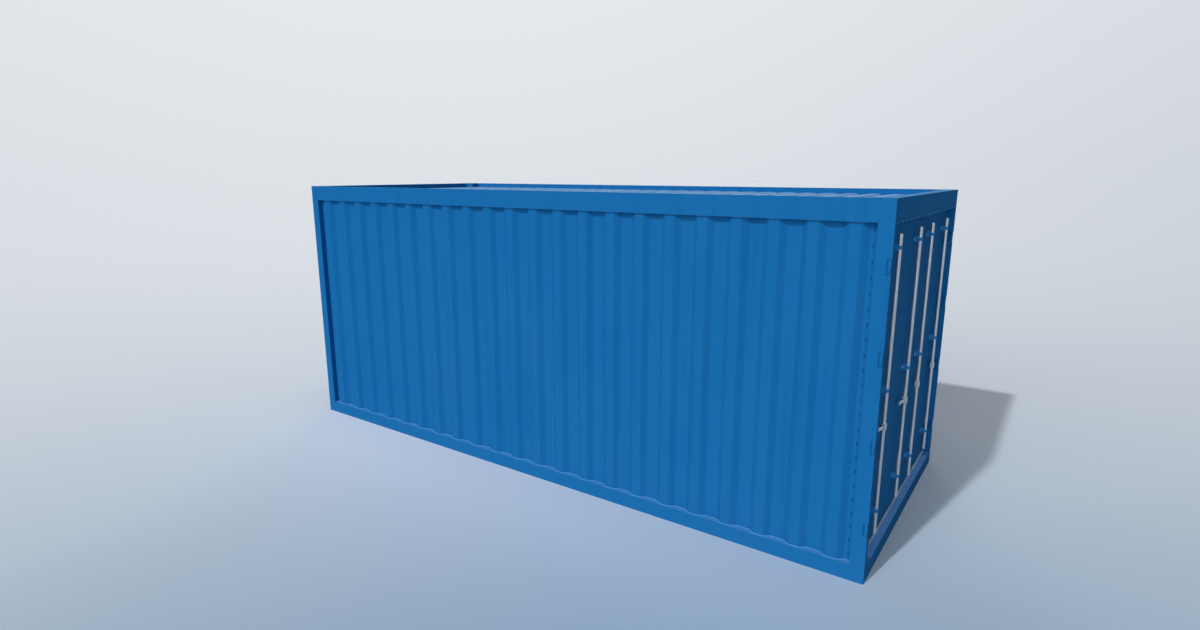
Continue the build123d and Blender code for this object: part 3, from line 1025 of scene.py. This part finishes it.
def settle(piece: Object, place: Matrix | None = None) -> Object:
    """Turns a piece with its modifiers into a plain mesh with outward faces and smooth bends.

    Args:
        piece: The piece.
        place: Where its mesh goes, or None where it is already there.

    Returns:
        The piece.
    """
    bpy.context.view_layer.update()
    evaluated = piece.evaluated_get(bpy.context.evaluated_depsgraph_get())
    mesh = bpy.data.meshes.new_from_object(evaluated)
    piece.modifiers.clear()
    piece.data = mesh
    if place is not None:
        mesh.transform(place)
    shape = bmesh.new()
    shape.from_mesh(mesh)
    bmesh.ops.remove_doubles(shape, verts=shape.verts, dist=SAME_POINT)
    bmesh.ops.recalc_face_normals(shape, faces=shape.faces)
    shape.to_mesh(mesh)
    shape.free()
    mesh.shade_smooth()
    mesh.set_sharp_from_angle(angle=SMOOTH_ANGLE)
    return piece


def grow(
    name: str, tree: NodeTree, values: dict, mesh: Mesh | None = None
) -> Object:
    """Starts a piece whose mesh comes from a geometry tree.

    Args:
        name: The piece's name.
        tree: The tree.
        values: The tree's inputs, by name.
        mesh: The mesh that the tree is given, or None.

    Returns:
        The piece, with its modifier still on it.
    """
    piece = new_piece(name, mesh)
    modifier = piece.modifiers.new("growth", "NODES")
    modifier.node_group = tree
    for item in tree.interface.items_tree:
        if item.name in values:
            modifier[item.identifier] = values[item.name]
    return piece


def attach(piece: Object, body: str, slot: str, *replaced: str) -> None:
    """Fastens a finished piece to a body of the model, and reports it.

    Args:
        piece: The piece.
        body: The body it moves with.
        slot: The record's material slot that its finish belongs to. Not used.
        replaced: The nodes that it stands for.
    """
    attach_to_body(piece, body)
    if replaced:
        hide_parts(*replaced)
    log.info("%s on %s, %d faces", piece.name, body, len(piece.data.polygons))


def points_mesh(name: str, places: list[Vector], facing: Vector) -> Mesh:
    """Makes a mesh of loose points that all face one way.

    Args:
        name: The mesh's name.
        places: The points.
        facing: The way that they face.

    Returns:
        The mesh.
    """
    mesh = bpy.data.meshes.new(name)
    mesh.from_pydata([tuple(place) for place in places], [], [])
    directions = mesh.attributes.new("facing", "FLOAT_VECTOR", "POINT")
    directions.data.foreach_set("vector", [value for _ in places for value in facing])
    return mesh


@dataclass(frozen=True)
class Island:
    """The box of one solid of a node.

    Attributes:
        low: Its lowest corner.
        high: Its highest corner.
    """

    low: Vector
    high: Vector

    @property
    def centre(self) -> Vector:
        """The middle of the box."""
        return (self.low + self.high) / 2


def islands(node: str) -> list[Island]:
    """Finds the separate solids of a node.

    Args:
        node: The node's name.

    Returns:
        Their boxes, sorted by height, then by Y and then by X, so that each run gives one order.
    """
    shape = bmesh.new()
    shape.from_mesh(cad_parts[node].data)
    bmesh.ops.remove_doubles(shape, verts=shape.verts, dist=SAME_POINT)
    waiting = set(shape.verts)
    found = []
    while waiting:
        reached = [waiting.pop()]
        for vertex in reached:
            for edge in vertex.link_edges:
                other = edge.other_vert(vertex)
                if other in waiting:
                    waiting.remove(other)
                    reached.append(other)
        corners = list(zip(*(vertex.co for vertex in reached)))
        found.append(Island(Vector(map(min, corners)), Vector(map(max, corners))))
    shape.free()
    return sorted(
        found, key=lambda island: (round(island.centre.z, 3), island.centre.y, island.centre.x)
    )


# Sub-assemblies


@dataclass
class FoldedSheets:
    """The corrugated side walls, front wall and roof, with their bends and the sealer along them.

    Attributes:
        finishes: The finishes.
        thickness: The sheets' thickness.
        bend: The radius that the press leaves at the middle of the sheet.
        wall_slope: The width of a wall wave's slope along the wall.
        wall_crest: The width of its crest.
        side_waves: How many waves a side wall has.
        front_waves: How many the front wall has.
        roof_slope: The width of a roof wave's slope.
        roof_crest: The width of its crest.
        roof_waves: How many waves the roof has.
        bead: The radius of the seam sealer along a wall's edges.
    """

    finishes: Finishes
    thickness: float = SHEET
    bend: float = 9 * MM
    wall_slope: float = 44 * MM
    wall_crest: float = 74 * MM
    side_waves: int = 22
    front_waves: int = 9
    roof_slope: float = 18 * MM
    roof_crest: float = 90 * MM
    roof_waves: int = 28
    bead: float = 4 * MM

    def __post_init__(self) -> None:
        """Builds the trees that the sheets and the seams share."""
        path = corrugation_path()
        self.sheet_tree = sheet_tree(path)
        self.bead_tree = bead_tree(path)

    def values(self, run: float, waves: int, depth: float, slope: float, crest: float) -> dict:
        """Lists the tree inputs that describe one corrugation.

        Args:
            run: Its length across the folds.
            waves: How many waves it has.
            depth: How deep they are, from middle to middle of the sheet.
            slope: The width of a slope.
            crest: The width of a crest.

        Returns:
            The inputs, by name.
        """
        return {
            "Run": run, "Waves": waves, "Depth": depth, "Slope": slope, "Crest": crest,
            "Bend": self.bend,
        }

    def sheet(
        self, node: str, corrugation: dict, width: float, place: Matrix, paint: Material
    ) -> None:
        """Makes one folded sheet in place of its plain node.

        Args:
            node: The node that it replaces.
            corrugation: The corrugation's inputs.
            width: The length of its folds.
            place: Where it goes.
            paint: Its finish.
        """
        name = f"{node}_sheet"
        values = {**corrugation, "Width": width, "Material": paint}
        piece = grow(name, self.sheet_tree, values)
        shell = piece.modifiers.new("thickness", "SOLIDIFY")
        shell.thickness = self.thickness
        shell.offset = 0
        shell.use_even_offset = True
        settle(piece, place)
        attach(piece, "box", "blue_paint", node)

    def seams(self, name: str, corrugation: dict, places: list[Matrix]) -> None:
        """Lays beads of sealer along the edges of a folded sheet, as one piece.

        Args:
            name: The piece's name.
            corrugation: The corrugation's inputs.
            places: Where each bead goes.
        """
        # The beads are painted paler than the walls, as painted light.
        values = {**corrugation, "Radius": self.bead, "Material": self.finishes.sealer}
        beads = settle(grow(name, self.bead_tree, values))
        rows = bmesh.new()
        for place in places:
            bead = beads.data.copy()
            bead.transform(place)
            rows.from_mesh(bead)
            bpy.data.meshes.remove(bead)
        rows.to_mesh(beads.data)
        rows.free()
        attach(beads, "box", "blue_paint")

    def wall(self, wall: str, waves: int, turn: float) -> None:
        """Makes one wall and its seams.

        Args:
            wall: The wall's node.
            waves: How many waves it has.
            turn: How far it is turned about Z from the left wall's direction.
        """
        low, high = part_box(wall)
        size = high - low
        along, through = (size.x, size.y) if size.x > size.y else (size.y, size.x)
        depth = through - self.thickness
        corrugation = self.values(along, waves, depth, self.wall_slope, self.wall_crest)
        middle = (low + high) / 2
        corner = Vector((-along / 2, -through / 2 + self.thickness / 2, 0))
        stand = Matrix.Translation((middle.x, middle.y, low.z)) @ Matrix.Rotation(turn, 4, "Z")
        self.sheet(
            wall, corrugation, size.z, stand @ Matrix.Translation(corner), self.finishes.sheet_paint
        )
        bead_line = corner - Vector((0, self.thickness / 2 + self.bead / 2, 0))
        edges = [bead_line, bead_line + Vector((0, 0, size.z))]
        self.seams(f"{wall}_seams", corrugation, [stand @ Matrix.Translation(edge) for edge in edges])

    def roof(self) -> None:
        """Makes the roof sheet."""
        low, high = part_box("roof")
        size = high - low
        corrugation = self.values(
            size.x, self.roof_waves, size.z - self.thickness, self.roof_slope, self.roof_crest
        )
        lay = Matrix.Translation((low.x, low.y, high.z - self.thickness / 2)) @ Matrix.Rotation(
            -math.pi / 2, 4, "X"
        )
        self.sheet("roof", corrugation, size.y, lay, self.finishes.roof_paint)

    def build(self) -> None:
        """Makes every folded sheet."""
        self.wall("left_wall", self.side_waves, 0.0)
        self.wall("right_wall", self.side_waves, math.pi)
        self.wall("front_wall", self.front_waves, -math.pi / 2)
        self.roof()


@dataclass
class Floor:
    """The plywood panels and their screws.

    Attributes:
        finishes: The finishes.
        rows: How many panels lie along the container.
        columns: How many lie across it.
        gap: The joint between panels.
        screws_across: How many screws there are in a row. Each cross member has one row.
        screw_margin: How far the outer screws lie from the floor's sides.
        screw_radius: The radius of a screw's head.
        screw_height: How much of its head is made. Half of that stands out.
        seed: The seed of the panels' tones.
    """

    finishes: Finishes
    rows: int = 5
    columns: int = 2
    gap: float = 3 * MM
    screws_across: int = 16
    screw_margin: float = 45 * MM
    screw_radius: float = 7 * MM
    screw_height: float = 0.6 * MM
    seed: int = 11

    def panels(self) -> None:
        """Lays the panels, and notches them round the corner blocks."""
        low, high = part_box("floor")
        size = high - low
        values = {
            "Length": size.x, "Width": size.y, "Thickness": size.z, "Gap": self.gap, "Rows": self.rows,
            "Columns": self.columns, "Seed": self.seed, "Material": self.finishes.plywood,
        }
        piece = grow("floor_panels", panel_tree(), values)
        settle(piece, Matrix.Translation((low + high) / 2))
        self.notch(piece)
        attach(piece, "box", "plywood", "floor")

    def notch(self, piece: Object) -> None:
        """Cuts the four corner blocks out of the panels.

        Args:
            piece: The panels.
        """
        cutters = bmesh.new()
        for block in ("door_left", "door_right", "front_left", "front_right"):
            low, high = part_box(f"lower_block_{block}")
            made = bmesh.ops.create_cube(cutters, size=1.0)
            size = high - low + Vector((self.gap, self.gap, self.gap))
            place = Matrix.Translation((low + high) / 2) @ Matrix.Diagonal((*size, 1.0))
            bmesh.ops.transform(cutters, matrix=place, verts=made["verts"])
        cutter = new_piece("floor_notches")
        cutters.to_mesh(cutter.data)
        cutters.free()
        cut = piece.modifiers.new("notches", "BOOLEAN")
        cut.operation = "DIFFERENCE"
        cut.solver = "EXACT"
        cut.object = cutter
        settle(piece)
        bpy.data.objects.remove(cutter)

    def screws(self) -> None:
        """Sets a row of countersunk screws over each cross member."""
        low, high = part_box("floor")
        places = []
        for member in islands("cross_members"):
            for number in range(self.screws_across):
                share = number / (self.screws_across - 1)
                y = low.y + self.screw_margin + share * (high.y - low.y - 2 * self.screw_margin)
                places.append(Vector((member.centre.x, y, high.z - self.screw_height / 2)))
        mesh = points_mesh("floor_screw_places", places, Vector((0, 0, 1)))
        values = {
            "Radius": self.screw_radius, "Height": self.screw_height,
            "Material": self.finishes.bolt_zinc,
        }
        piece = settle(grow("floor_screws", fastener_tree(Head.FLUSH), values, mesh))
        attach(piece, "box", "galvanised_steel")

    def build(self) -> None:
        """Makes the floor."""
        self.panels()
        self.screws()


@dataclass
class DoorSeal:
    """The moulded rubber seal round the back of one leaf.

    Attributes:
        finishes: The finishes.
        outline: The seal's section: how far each point lies in from the seal's outer edge, and how
            far back from the leaf, as shares of the seal's width and thickness.
        width: The seal's width.
    """

    finishes: Finishes
    outline: tuple[tuple[float, float], ...] = (
        (0.10, 0.0), (0.0, 0.15), (0.0, 0.45), (0.12, 0.62), (0.26, 0.62), (0.34, 0.85),
        (0.45, 1.0), (0.55, 1.0), (0.66, 0.85), (0.74, 0.62), (0.88, 0.62), (1.0, 0.45),
        (1.0, 0.15), (0.90, 0.0),
    )
    width: float = 34 * MM

    def build(self, side: Side) -> None:
        """Makes the seal of one leaf.

        Args:
            side: The leaf's side.
        """
        node = f"{side.word}_door_gasket"
        low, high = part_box(node)
        mesh = bpy.data.meshes.new(f"{side.word}_door_seal")
        shape = bmesh.new()
        rings = []
        for inward, back in self.outline:
            inset = inward * self.width
            x = high.x - back * (high.x - low.x)
            corners = (
                (low.y + inset, low.z + inset), (high.y - inset, low.z + inset),
                (high.y - inset, high.z - inset), (low.y + inset, high.z - inset),
            )
            rings.append([shape.verts.new((x, y, z)) for y, z in corners])
        for ring, following in zip(rings, rings[1:] + rings[:1]):
            for at in range(4):
                after = (at + 1) % 4
                shape.faces.new((ring[at], ring[after], following[after], following[at]))
        shape.to_mesh(mesh)
        shape.free()
        mesh.materials.append(self.finishes.rubber)
        piece = settle(new_piece(f"{side.word}_door_seal", mesh))
        attach(piece, f"{side.word}_door", "seal_rubber", node)


@dataclass
class DoorFasteners:
    """The bolts of the rod saddles and the rivets of the hinge blades on one leaf.

    Attributes:
        finishes: The finishes.
        bolt_radius: Half the width of a saddle bolt's head.
        bolt_height: Its height.
        bolt_offset: How far a saddle bolt lies from the rod, sideways.
        rivet_radius: The radius of a hinge rivet's head.
        rivet_height: Its height.
        rivet_spread: How far the rivets of a blade lie apart.
        rivet_margin: How far the nearest rivets lie from a blade's free end.
        flange: The thickness of a saddle's flange.
        blade: The thickness of a hinge's blade.
    """

    finishes: Finishes
    bolt_radius: float = 5.5 * MM
    bolt_height: float = 4 * MM
    bolt_offset: float = 25 * MM
    rivet_radius: float = 8 * MM
    rivet_height: float = 4 * MM
    rivet_spread: Vector = field(default_factory=lambda: Vector((0, 50 * MM, 46 * MM)))
    rivet_margin: float = 30 * MM
    flange: float = 5 * MM
    blade: float = 10 * MM

    def bolts(self, side: Side, tree: NodeTree) -> None:
        """Sets two bolts through each saddle's flange.

        Args:
            side: The leaf's side.
            tree: The hexagon head's tree.
        """
        places = []
        for saddle in islands(f"{side.word}_rod_saddles"):
            for offset in (-self.bolt_offset, self.bolt_offset):
                places.append(
                    Vector((saddle.low.x + self.flange, saddle.centre.y + offset, saddle.centre.z))
                )
        mesh = points_mesh(f"{side.word}_saddle_bolt_places", places, Vector((1, 0, 0)))
        values = {
            "Radius": self.bolt_radius, "Height": self.bolt_height, "Material": self.finishes.bolt_zinc,
        }
        piece = settle(grow(f"{side.word}_saddle_bolts", tree, values, mesh))
        attach(piece, f"{side.word}_door", "galvanised_steel")

    def rivets(self, side: Side, tree: NodeTree) -> None:
        """Sets four rivets in each hinge blade.

        Args:
            side: The leaf's side.
            tree: The domed head's tree.
        """
        places = []
        leaf_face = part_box(f"{side.word}_door_sheet")[1].x
        for hinge in islands(f"{side.word}_door_hinges"):
            free_end = hinge.low.y if side is Side.RIGHT else hinge.high.y
            middle = free_end + side.value * (self.rivet_margin + self.rivet_spread.y / 2)
            for across in (-0.5, 0.5):
                for up in (-0.5, 0.5):
                    places.append(Vector((
                        leaf_face + self.blade,
                        middle + across * self.rivet_spread.y,
                        hinge.centre.z + up * self.rivet_spread.z,
                    )))
        mesh = points_mesh(f"{side.word}_hinge_rivet_places", places, Vector((1, 0, 0)))
        values = {
            "Radius": self.rivet_radius, "Height": self.rivet_height,
            "Material": self.finishes.fitting_paint,
        }
        piece = settle(grow(f"{side.word}_hinge_rivets", tree, values, mesh))
        attach(piece, f"{side.word}_door", "blue_paint")

    def build(self) -> None:
        """Makes the fasteners of both leaves."""
        hexagon, dome = fastener_tree(Head.HEXAGON), fastener_tree(Head.DOME)
        for side in Side:
            self.bolts(side, hexagon)
            self.rivets(side, dome)


@dataclass
class Stitches:
    """The short welds under the door header and where the walls' end troughs lap the posts.

    Attributes:
        finishes: The finishes.
        length: The length of a stitch.
        spacing: The distance from one stitch to the next on a wall.
        header_spacing: The same under the header.
        header_radius: The radius of a stitch under the header.
        post_radius: The radius of a stitch at a post.
        lap: How far the stitches on a wall lie from the post.
    """

    finishes: Finishes
    length: float = 32 * MM
    spacing: float = 100 * MM
    header_spacing: float = 130 * MM
    header_radius: float = 8 * MM
    post_radius: float = 5 * MM
    lap: float = 26 * MM

    def row(
        self, name: str, ends: tuple[Vector, Vector], spacing: float, radius: float,
        tree: NodeTree, finish: Material,
    ) -> None:
        """Sets a row of stitches between two points.

        Args:
            name: The piece's name.
            ends: Where the row starts and ends.
            spacing: The distance from one stitch to the next.
            radius: The radius of a stitch.
            tree: The stitch's tree.
            finish: The stitches' finish.
        """
        start, end = ends
        run = (end - start).length
        values = {
            "Run": run, "Count": round(run / spacing), "Length": self.length, "Radius": radius,
            "Material": finish,
        }
        turn = Vector((1, 0, 0)).rotation_difference(end - start).to_matrix().to_4x4()
        piece = settle(grow(name, tree, values), Matrix.Translation(start) @ turn)
        attach(piece, "box", "blue_paint")

    def build(self) -> None:
        """Makes the rows under the header and on the four posts."""
        tree = stitch_tree()
        low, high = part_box("door_head_rail")
        face = high.x - self.header_radius
        header = (Vector((face, low.y, low.z)), Vector((face, high.y, low.z)))
        # The stitches under the header are painted pale, as painted light.
        self.row(
            "header_stitches", header, self.header_spacing, self.header_radius, tree,
            self.finishes.pale_sealer,
        )
        for post in ("door_post_left", "door_post_right", "front_post_left", "front_post_right"):
            side = post.split("_")[2]
            low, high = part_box(post)
            wall_low, wall_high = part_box(f"{side}_wall")
            x = low.x - self.lap if post.startswith("door") else high.x + self.lap
            y = wall_high.y - SHEET if side == "left" else wall_low.y + SHEET
            edge = (Vector((x, y, wall_low.z)), Vector((x, y, wall_high.z)))
            # The stitches at the posts wear darker paint, as painted shade along the joint.
            self.row(
                f"{post}_stitches", edge, self.spacing, self.post_radius, tree, self.finishes.weld_paint_darkened_as_painted_shade
            )


@dataclass
class SteelEdges:
    """The small radii that rolling, casting and pressing leave on the steel's edges.

    Attributes:
        section: The radius of a rolled section's edge.
        casting: The radius of a casting's edge.
        fitting: The radius of a small fitting's edge.
        segments: How many faces round an edge.
    """

    section: float = 0.7 * MM
    casting: float = 0.7 * MM
    fitting: float = 1.0 * MM
    segments: int = 2

    def soften(self, node: str, radius: float) -> None:
        """Rounds a node's edges with modifiers, and leaves its mesh as it is.

        Args:
            node: The node's name.
            radius: The edges' radius.
        """
        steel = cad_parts[node]
        weld = steel.modifiers.new("weld", "WELD")
        weld.merge_threshold = SAME_POINT
        flat = steel.modifiers.new("flat_faces", "DECIMATE")
        flat.decimate_type = "DISSOLVE"
        flat.angle_limit = FLAT_ANGLE
        edges = steel.modifiers.new("edges", "BEVEL")
        edges.width = radius
        edges.segments = self.segments
        edges.limit_method = "ANGLE"
        edges.angle_limit = SMOOTH_ANGLE
        edges.harden_normals = True

    def build(self) -> None:
        """Rounds the edges of the frame, the castings and the fittings."""
        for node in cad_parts:
            if "_block_" in node:
                self.soften(node, self.casting)
            elif node.endswith("_rail") or node.startswith(("door_", "front_post")):
                self.soften(node, self.section)
            elif node.endswith(("_hinges", "_saddles", "_clips")):
                self.soften(node, self.fitting)


@dataclass
class Paintwork:
    """The finish of each node that shows as it is.

    Attributes:
        finishes: The finishes.
    """

    finishes: Finishes

    def finish_for(self, node: str) -> Material:
        """Chooses a node's finish.

        Args:
            node: The node's name.

        Returns:
            The material.
        """
        finishes = self.finishes
        by_ending = {
            "threshold": finishes.threshold_zinc_with_painted_light, "door_sill": finishes.sill_paint,
            "_lock_rod": finishes.zinc, "_gasket": finishes.rubber, "cross_members": finishes.wax,
            "floor": finishes.plywood, "_wall": finishes.sheet_paint, "_sheet": finishes.sheet_paint,
            "roof": finishes.roof_paint, "roof_end_plates": finishes.roof_paint,
            "_hinges": finishes.fitting_paint, "_saddles": finishes.bracket_paint_with_painted_light,
            "_clips": finishes.bracket_paint_with_painted_light,
        }
        if "_block_" in node:
            return finishes.casting_paint
        return next(
            (finish for ending, finish in by_ending.items() if node.endswith(ending)),
            finishes.section_paint,
        )

    def build(self) -> None:
        """Finishes every node."""
        for node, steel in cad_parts.items():
            steel.data.materials.clear()
            steel.data.materials.append(self.finish_for(node))
            log.info("%s in %s", node, steel.data.materials[0].name)


# Camera, light and floor


@dataclass(frozen=True)
class PhotoCamera:
    """The camera at the photograph's place, fitted to the container's six outer corners in it.

    Attributes:
        place: Where it stands.
        turn: How far it looks to the left of +Y, in degrees.
        tilt: How far it looks down, in degrees.
        lens: Its focal length in millimetres.
        sensor: The width of its sensor in millimetres.
    """

    place: tuple[float, float, float] = (3.927, -5.620, 2.747)
    turn: float = 34.96
    tilt: float = 11.95
    lens: float = 20.32
    sensor: float = 36.0

    def build(self) -> None:
        """Makes the camera."""
        data = bpy.data.cameras.new("photo_camera")
        data.lens = self.lens
        data.sensor_width = self.sensor
        camera = bpy.data.objects.new("photo_camera", data)
        camera.location = self.place
        camera.rotation_euler = (math.radians(90 - self.tilt), 0, math.radians(self.turn))
        bpy.context.scene.collection.objects.link(camera)
        bpy.context.scene.camera = camera


@dataclass(frozen=True)
class Lamp:
    """One distant lamp.

    Attributes:
        name: Its name.
        way: The way that its light travels.
        power: Its strength.
        width: Its apparent width in degrees.
    """

    name: str
    way: tuple[float, float, float]
    power: float
    width: float

    def build(self) -> None:
        """Makes the lamp."""
        data = bpy.data.lights.new(self.name, "SUN")
        data.energy = self.power
        data.angle = math.radians(self.width)
        lamp = bpy.data.objects.new(self.name, data)
        lamp.rotation_euler = Vector(self.way).to_track_quat("-Z", "Y").to_euler()
        bpy.context.scene.collection.objects.link(lamp)


@dataclass(frozen=True)
class Studio:
    """A plain pale floor and soft studio light, with the sun side of the photograph.

    Attributes:
        lamps: The distant lamps. The key's way comes from the photograph's shadow. The wash and the
            top lamp fill in what it leaves, and the back lamp lights the sides that the photograph
            doesn't show. It shines level, so it leaves the floor and the shadow alone.
        ambient: The strength of the light from all round.
        bright_way: The way in which the backdrop is brightest.
        bright: The backdrop's colour there.
        dim: The backdrop's colour at a right angle to it and beyond.
        near_floor: The floor's colour close in front of the object.
        floor_light: How bright a white floor looks under the lamps. Far away the floor's colour is
            the backdrop's, divided by this, so that no horizon shows.
        bounce: The floor's colour as it lights the object.
        pool: The point above the floor that it pales away from.
        near_depth: The steepest look down from that point at which the floor is still the backdrop's
            colour, as a sine, and the one from which it is the near colour.
        reach: Half the floor's width.
    """

    lamps: tuple[Lamp, ...] = (
        Lamp("key", (0.131, 0.731, -0.669), power=1.72, width=2.0),
        Lamp("wash", (-0.090, 0.970, -0.224), power=1.74, width=60.0),
        Lamp("top", (-0.12, 0.10, -0.98), power=0.64, width=40.0),
        Lamp("back", (0.45, -0.89, 0.0), power=2.30, width=30.0),
    )
    ambient: float = 0.04
    bright_way: tuple[float, float, float] = (-0.489, 0.416, 0.766)
    bright: str = "EEF2F5"
    dim: str = "BCC3CD"
    near_floor: str = "98B5CF"
    floor_light: float = 0.79
    bounce: str = "C2C5CB"
    pool: tuple[float, float, float] = (4.485, -5.836, 1.9)
    near_depth: tuple[float, float] = (0.035, 0.52)
    reach: float = 400.0

    def shown(self, tree: Tree) -> Node:
        """Adds what is 1 where the camera, a gloss or glass looks, and 0 where light is gathered.

        Args:
            tree: The tree.

        Returns:
            The node.
        """
        path = tree.add("ShaderNodeLightPath").outputs
        gloss = tree.add(
            "ShaderNodeMath", {0: path["Is Glossy Ray"], 1: path["Is Transmission Ray"]},
            operation="MAXIMUM",
        )
        return tree.add("ShaderNodeMath", {0: path["Is Camera Ray"], 1: gloss}, operation="MAXIMUM")

    def behind(self, tree: Tree, way: NodeSocket) -> Node:
        """Adds the backdrop's colour in a direction.

        Args:
            tree: The tree.
            way: The direction, of length 1.

        Returns:
            The node.
        """
        towards = tree.add("ShaderNodeVectorMath", {0: way, 1: self.bright_way}, operation="DOT_PRODUCT")
        return tree.add(
            "ShaderNodeMix",
            {"Factor": towards.outputs["Value"], "A": linear(self.dim), "B": linear(self.bright)},
            data_type="RGBA",
        )

    def world(self) -> None:
        """Lights the object from all round, and shows the backdrop to the camera and in gloss."""
        world = bpy.data.worlds.new("studio")
        bpy.context.scene.world = world
        world.use_nodes = True
        tree = Tree(world.node_tree)
        tree.group.nodes.clear()
        soft = tree.add("ShaderNodeBackground", {"Color": linear("FFFFFF"), "Strength": self.ambient})
        way = tree.add("ShaderNodeTexCoord").outputs["Object"]
        pale = tree.add("ShaderNodeBackground", {"Color": self.behind(tree, way), "Strength": 1.0})
        mixed = tree.add("ShaderNodeMixShader", {0: self.shown(tree), 1: soft, 2: pale})
        tree.add("ShaderNodeOutputWorld", {"Surface": mixed})

    def floor_paint(self) -> Material:
        """Makes the floor's plain matt paint, which pales away from the pool.

        Returns:
            The material.
        """
        material = bpy.data.materials.new("studio_floor")
        material.use_nodes = True
        tree = Tree(material.node_tree)
        tree.group.nodes.clear()
        place = tree.add("ShaderNodeTexCoord").outputs["Object"]
        away = tree.add("ShaderNodeVectorMath", {0: place, 1: self.pool}, operation="SUBTRACT")
        way = tree.add("ShaderNodeVectorMath", {0: away}, operation="NORMALIZE")
        rise = tree.add("ShaderNodeSeparateXYZ", {0: way}).outputs["Z"]
        down = tree.add("ShaderNodeMath", {0: rise, 1: -1.0}, operation="MULTIPLY")
        first, last = self.near_depth
        near = tree.add(
            "ShaderNodeMapRange", {"Value": down, "From Min": first, "From Max": last},
            interpolation_type="SMOOTHSTEP",
        )
        far = tree.add(
            "ShaderNodeVectorMath", {0: self.behind(tree, way), "Scale": 1 / self.floor_light},
            operation="SCALE",
        )
        colour = tree.add(
            "ShaderNodeMix", {"Factor": near, "A": far, "B": linear(self.near_floor)}, data_type="RGBA"
        )
        pale = tree.add("ShaderNodeBsdfDiffuse", {"Color": colour})
        dim = tree.add("ShaderNodeBsdfDiffuse", {"Color": linear(self.bounce)})
        mixed = tree.add("ShaderNodeMixShader", {0: self.shown(tree), 1: dim, 2: pale})
        tree.add("ShaderNodeOutputMaterial", {"Surface": mixed})
        return material

    def floor(self) -> None:
        """Lays the floor."""
        reach = self.reach
        mesh = bpy.data.meshes.new("studio_floor")
        corners = [(-reach, -reach, 0), (reach, -reach, 0), (reach, reach, 0), (-reach, reach, 0)]
        mesh.from_pydata(corners, [], [(0, 1, 2, 3)])
        mesh.materials.append(self.floor_paint())
        new_piece("studio_floor", mesh)

    def build(self) -> None:
        """Makes the studio."""
        for lamp in self.lamps:
            lamp.build()
        self.world()
        self.floor()
        bpy.context.scene.view_settings.view_transform = "Standard"


def main() -> None:
    """Builds the camera and the studio, then dresses the container."""
    logging.basicConfig(level=logging.INFO, format="%(name)s: %(message)s")
    PhotoCamera().build()
    Studio().build()
    finishes = Finishes()
    Paintwork(finishes).build()
    SteelEdges().build()
    FoldedSheets(finishes).build()
    Floor(finishes).build()
    for side in Side:
        DoorSeal(finishes).build(side)
    DoorFasteners(finishes).build()
    Stitches(finishes).build()


if __name__ == "__main__":
    main()
